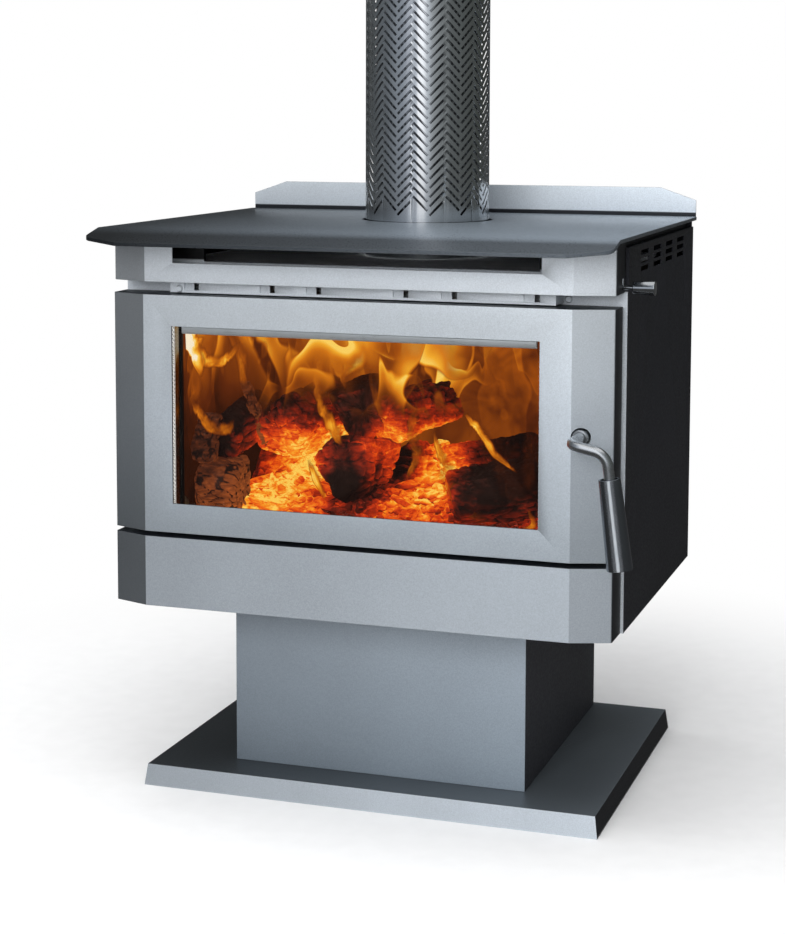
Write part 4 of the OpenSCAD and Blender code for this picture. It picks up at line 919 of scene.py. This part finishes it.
# The opaque fire_glow sheet lines the firebox's side and back walls in front of the bricks; the glow under
# its flames is painted firelight on those walls.
flame_sheet("fire_glow", [(-270.5, -263), (-270.5, 80), (-225, 128), (225, 128), (270.5, 80), (270.5, -250)],
            357, 655, 4.0, 3.0, 380, 640, 0.52, [(9, 0.50, 8, 0.45), (17, 0.54, 12, 0.32)], 0.14, opaque=True)
flame_sheet("flames_back", [(-262, -40), (262, -40)],
            405, 652, 9.0, 9.0, 425, 600, 0.50, [(9, 0.50, 9, 1.1), (17, 0.55, 14, 0.6)])
flame_sheet("flames_mid", [(-262, -140), (262, -140)],
            440, 655, 17.0, 9.0, 470, 620, 0.46, [(8, 0.52, 9, 1.1), (16, 0.57, 16, 0.6)])
flame_sheet("flames_front", [(-264, -232), (264, -232)],
            430, 655, 23.0, 9.0, 455, 640, 0.42, [(8, 0.53, 10, 1.05), (14, 0.57, 18, 0.6)])


def tongue_look(name):
    """Flame tongue: clear at its sides, brightest towards one rim; flame_heat and across are on the mesh."""
    t = material(name)
    p = t.co("Object")
    heat, across = t.attribute("flame_heat"), t.attribute("across")
    swirl = t.noise(t.vmath("MULTIPLY", p, (44, 44, 22)), 1.0, 3, 0.55, 1.6)
    side = t.plus(across, t.vary(swirl, -0.45, 0.45))

    def inside(v, power):
        return t.math("SUBTRACT", 1.0, t.math("POWER", t.size(v), power), clamp=True)

    body = t.times(inside(side, 1.5), inside(across, 3.0))
    rim = t.times(t.span(side, 0.10, 0.70), body)
    value = t.times(t.plus(t.times(body, 0.70), t.times(rim, 0.75)), heat)
    value = t.times(value, t.vary(t.noise(p, 30, 2, 0.5, 0.8), 0.70, 1.2))
    return not_a_lamp(t.shaders(t.span(value, 0.0, 0.60), t.clear(), t.light(t.ramp(value, FLAME))))


TONGUE = tongue_look("flame_tongue")


def tongues(name, seed, strands):
    """Flame tongues: ribbons along smooth lines of (x, y, z, half width, heat)."""
    steps, half_row = 12, 4  # points between two of a line's, and faces from its middle to its side
    bm = bmesh.new()
    for layer in ("flame_heat", "across"):  # both, before either is looked up
        bm.verts.layers.float.new(layer)
    heat, across = bm.verts.layers.float["flame_heat"], bm.verts.layers.float["across"]
    for n, strand in enumerate(strands):
        line, data = [Vector(p[:3]) for p in strand], [p[3:] for p in strand]
        prev, last = None, len(line) - 2
        for i in range(last + 1):
            p0, p1, p2, p3 = line[max(i - 1, 0)], line[i], line[i + 1], line[min(i + 2, len(line) - 1)]
            c2, c3 = 2 * p0 - 5 * p1 + 4 * p2 - p3, 3 * p1 - p0 - 3 * p2 + p3
            for k in range(steps + (i == last)):
                s = k / steps
                p = 0.5 * ((2 * p1) + (p2 - p0) * s + c2 * s * s + c3 * s ** 3)
                g = 0.5 * ((p2 - p0) + 2 * c2 * s + 3 * c3 * s * s)
                side = Vector((g.z, 0, -g.x)).normalized()
                half = data[i][0] + (data[i + 1][0] - data[i][0]) * s
                hot = data[i][1] + (data[i + 1][1] - data[i][1]) * s
                half *= 1.5 + 0.4 * noise.noise(p * 0.05 + Vector((seed, n, 0)))
                row = []
                for a in range(-half_row, half_row + 1):
                    e = a / half_row
                    curl = 2.5 * e ** 2 + 3 * noise.noise(p * 0.03 + Vector((n, 0, seed)))
                    w = bm.verts.new(fire_at(*(p + side * half * a / half_row + Vector((0, curl, 0)))))
                    w[heat], w[across] = hot, e
                    row.append(w)
                if prev:
                    strip(bm, prev, row)
                prev = row
    piece(name, bm, TONGUE, "stove", 180)


tongues("flame_tongues_left", 1.0, [
    [(-270, -257, 654, 10, 1.6), (-262, -256, 630, 15, 1.8),
     (-252, -255, 604, 10, 1.3), (-248, -254, 582, 2, 0.3)],
    [(-258, -253, 616, 10, 1.1), (-238, -252, 606, 10, 1.0), (-216, -252, 608, 8, 0.95),
     (-200, -252, 622, 5, 0.8), (-190, -252, 634, 1, 0.2)],
    [(-262, -250, 606, 10, 0.35), (-256, -250, 570, 12, 0.45),
     (-262, -250, 548, 6, 0.45), (-266, -250, 535, 1, 0.1)],
    [(-264, -248, 552, 4, 0.3), (-256, -246, 530, 8, 0.6), (-236, -244, 512, 11, 0.75),
     (-214, -242, 510, 8, 0.65), (-204, -242, 524, 2, 0.1)],
    [(-214, -236, 646, 5, 0.4), (-196, -236, 612, 9, 0.6),
     (-190, -236, 578, 7, 0.5), (-194, -236, 556, 2, 0.1)],
])
tongues("flame_tongues_mid", 2.0, [
    [(-78, -226, 650, 9, 0.7), (-66, -226, 620, 8, 0.95), (-52, -226, 592, 8, 0.9), (-44, -226, 572, 3, 0.3)],
    [(-20, -226, 650, 10, 0.8), (-30, -226, 622, 9, 1.0),
     (-44, -226, 596, 7, 0.85), (-50, -226, 574, 2, 0.2)],
    [(-70, -222, 640, 6, 0.5), (-86, -222, 590, 9, 0.6), (-84, -222, 552, 6, 0.7),
     (-66, -222, 520, 11, 0.95), (-56, -222, 500, 7, 0.7), (-50, -222, 492, 1, 0.1)],
    [(34, -228, 640, 12, 0.5), (40, -228, 612, 13, 0.62), (24, -228, 592, 10, 0.5), (6, -228, 596, 4, 0.2)],
    [(-100, -226, 470, 2, 0.2), (-92, -226, 452, 6, 1.1), (-82, -226, 430, 5, 1.0), (-74, -226, 414, 2, 0.3)],
    [(-10, -224, 600, 3, 0.2), (-2, -224, 565, 6, 0.5), (6, -224, 540, 5, 0.6), (10, -224, 524, 1, 0.1)],
])
tongues("flame_tongues_right", 3.0, [
    [(128, -228, 545, 2, 0.5), (140, -228, 532, 5, 1.0), (158, -228, 512, 6, 0.95),
     (170, -228, 492, 5, 0.8), (190, -228, 478, 3, 0.8), (200, -228, 470, 1, 0.2)],
    [(84, -228, 520, 2, 0.3), (88, -228, 500, 5, 0.9), (96, -228, 482, 6, 0.8), (110, -228, 470, 3, 0.3)],
    [(96, -220, 470, 8, 0.40), (112, -220, 440, 15, 0.42),
     (136, -220, 412, 13, 0.40), (160, -220, 396, 4, 0.2)],
    [(60, -226, 560, 4, 0.3), (52, -226, 520, 8, 0.5), (60, -226, 486, 9, 0.6),
     (48, -226, 460, 5, 0.5), (40, -226, 446, 1, 0.1)],
    [(150, -226, 640, 8, 0.35), (176, -226, 600, 14, 0.45),
     (196, -226, 560, 10, 0.35), (206, -226, 530, 3, 0.1)],
    [(110, -219, 610, 20, 0.10), (146, -219, 550, 30, 0.24), (176, -219, 496, 30, 0.26),
     (200, -219, 446, 22, 0.20), (214, -219, 410, 8, 0.05)],
    [(206, -221, 560, 10, 0.10), (222, -221, 510, 16, 0.26),
     (216, -221, 470, 14, 0.24), (226, -221, 430, 6, 0.10)],
    [(216, -226, 420, 2, 0.3), (222, -226, 400, 5, 0.7), (206, -226, 392, 3, 0.5), (196, -226, 390, 1, 0.1)],
])


# ---------------- studio
def studio():
    w = bpy.data.worlds.new("studio")
    SCENE.world = w
    t = Tree(w)
    fill = t.add("ShaderNodeBackground", {"Color": (0.97, 0.98, 1.0, 1), "Strength": 0.42}).outputs[0]
    white = t.add("ShaderNodeBackground", {"Color": (1, 1, 1, 1), "Strength": 1.0}).outputs[0]
    t.shaders(t.background_rays(), fill, white)

    # Floor: pale, lit by the lamps; far from the stove it runs into the white background.
    t = material("floor_paper")
    p = t.co("Object")
    far = t.span(t.vmath("LENGTH", p), 0.52, 1.20)
    tone = t.scaled((0.89, 0.89, 0.89), t.vary(t.noise(p, 30, 3, 0.5), 0.985, 1.015))
    paper = t.add("ShaderNodeBsdfDiffuse", {"Color": tone}).outputs[0]
    t.shaders(t.times(far, t.background_rays()), paper, t.light((1, 1, 1, 1)))
    bm = bmesh.new()
    bmesh.ops.create_grid(bm, x_segments=24, y_segments=24, size=9)
    floor = thing("floor", bm, t.owner)

    # A ring round the set and a disc under it, which only mirror reflections see, keep the metal's sides
    # deep as in a studio; its bright panel stands in front of the stove.
    t = material("studio_flag_cloth")
    x, y, z = t.xyz(t.co("Object"))
    azimuth = t.math("ARCTAN2", x, t.times(y, -1.0))
    grey = t.ramp(t.span(azimuth, -pi, pi, kind="LINEAR"), [
        (0.0, (0.04, 0.04, 0.04)), (0.183, (0.065, 0.07, 0.07)), (0.333, (0.14, 0.155, 0.17)),
        (0.417, (0.28, 0.31, 0.35)), (0.458, (0.42, 0.45, 0.50)), (0.486, (0.66, 0.70, 0.76)),
        (0.500, (1.20, 1.22, 1.26)), (0.526, (1.22, 1.24, 1.28)), (0.545, (0.58, 0.62, 0.67)),
        (0.575, (0.32, 0.34, 0.35)), (0.658, (0.12, 0.13, 0.13)), (0.864, (0.045, 0.05, 0.045)),
        (1.0, (0.04, 0.04, 0.04))])
    grey = t.mix(t.span(z, 0.05, 0.9), (0.06, 0.06, 0.06, 1), grey)
    t.surface(t.light(grey, 1.25))
    bm = bmesh.new()
    radius, n, foot, head = 4.6, 72, 0.002, 6.5
    rows = []
    for i in range(n + 1):
        a = -pi + 2 * pi * i / n
        x, y = radius * sin(a), -radius * cos(a)
        rows.append([bm.verts.new((x, y, z)) for z in (foot, head)])
    middle = bm.verts.new((0, 0, foot))
    for a, b in zip(rows, rows[1:]):
        bm.faces.new([a[0], b[0], b[1], a[1]])
    for a, b in zip(rows, rows[1:]):
        bm.faces.new([middle, b[0], a[0]])
    flags = thing("studio_flags", bm, t.owner)
    flags.visible_camera = flags.visible_diffuse = flags.visible_shadow = flags.visible_transmission = False


def lamp(name, where, at, size, power):
    d = bpy.data.lights.new(name, "AREA")
    d.shape, d.size, d.size_y, d.energy = "RECTANGLE", *size, power
    o = bpy.data.objects.new(name, d)
    o.location = where
    o.rotation_euler = (Vector(at) - Vector(where)).to_track_quat("-Z", "Y").to_euler()
    o.visible_glossy = False  # metal mirrors the studio's ring instead
    SCENE.collection.objects.link(o)


studio()
lamp("key", (0.25, -3.3, 1.45), (0, -0.2, 0.60), (1.6, 1.5), 84)
lamp("top", (-0.2, -0.6, 3.0), (0, 0, 0.4), (2.4, 2.4), 72)

# ---------------- camera
# Place and turn were solved from the photograph's straight edges. The photograph's own shift is about -0.397;
# all of it would push the stove out of the other views.
PAN, TILT, ROLL = radians(18.59), radians(84.5), radians(0.14)
cam = bpy.data.cameras.new("camera")
cam.lens, cam.sensor_width, cam.sensor_fit = 76.26, 36.0, "AUTO"
cam.shift_x, cam.shift_y = 0.0, -0.185
eye = bpy.data.objects.new("camera", cam)
eye.location = (0.8732, -2.7523, 0.9606)
eye.rotation_euler = (Matrix.Rotation(PAN, 3, "Z") @ Matrix.Rotation(TILT, 3, "X")
                      @ Matrix.Rotation(ROLL, 3, "Z")).to_euler()
SCENE.collection.objects.link(eye)
SCENE.camera = eye
SCENE.view_settings.view_transform = "Standard"
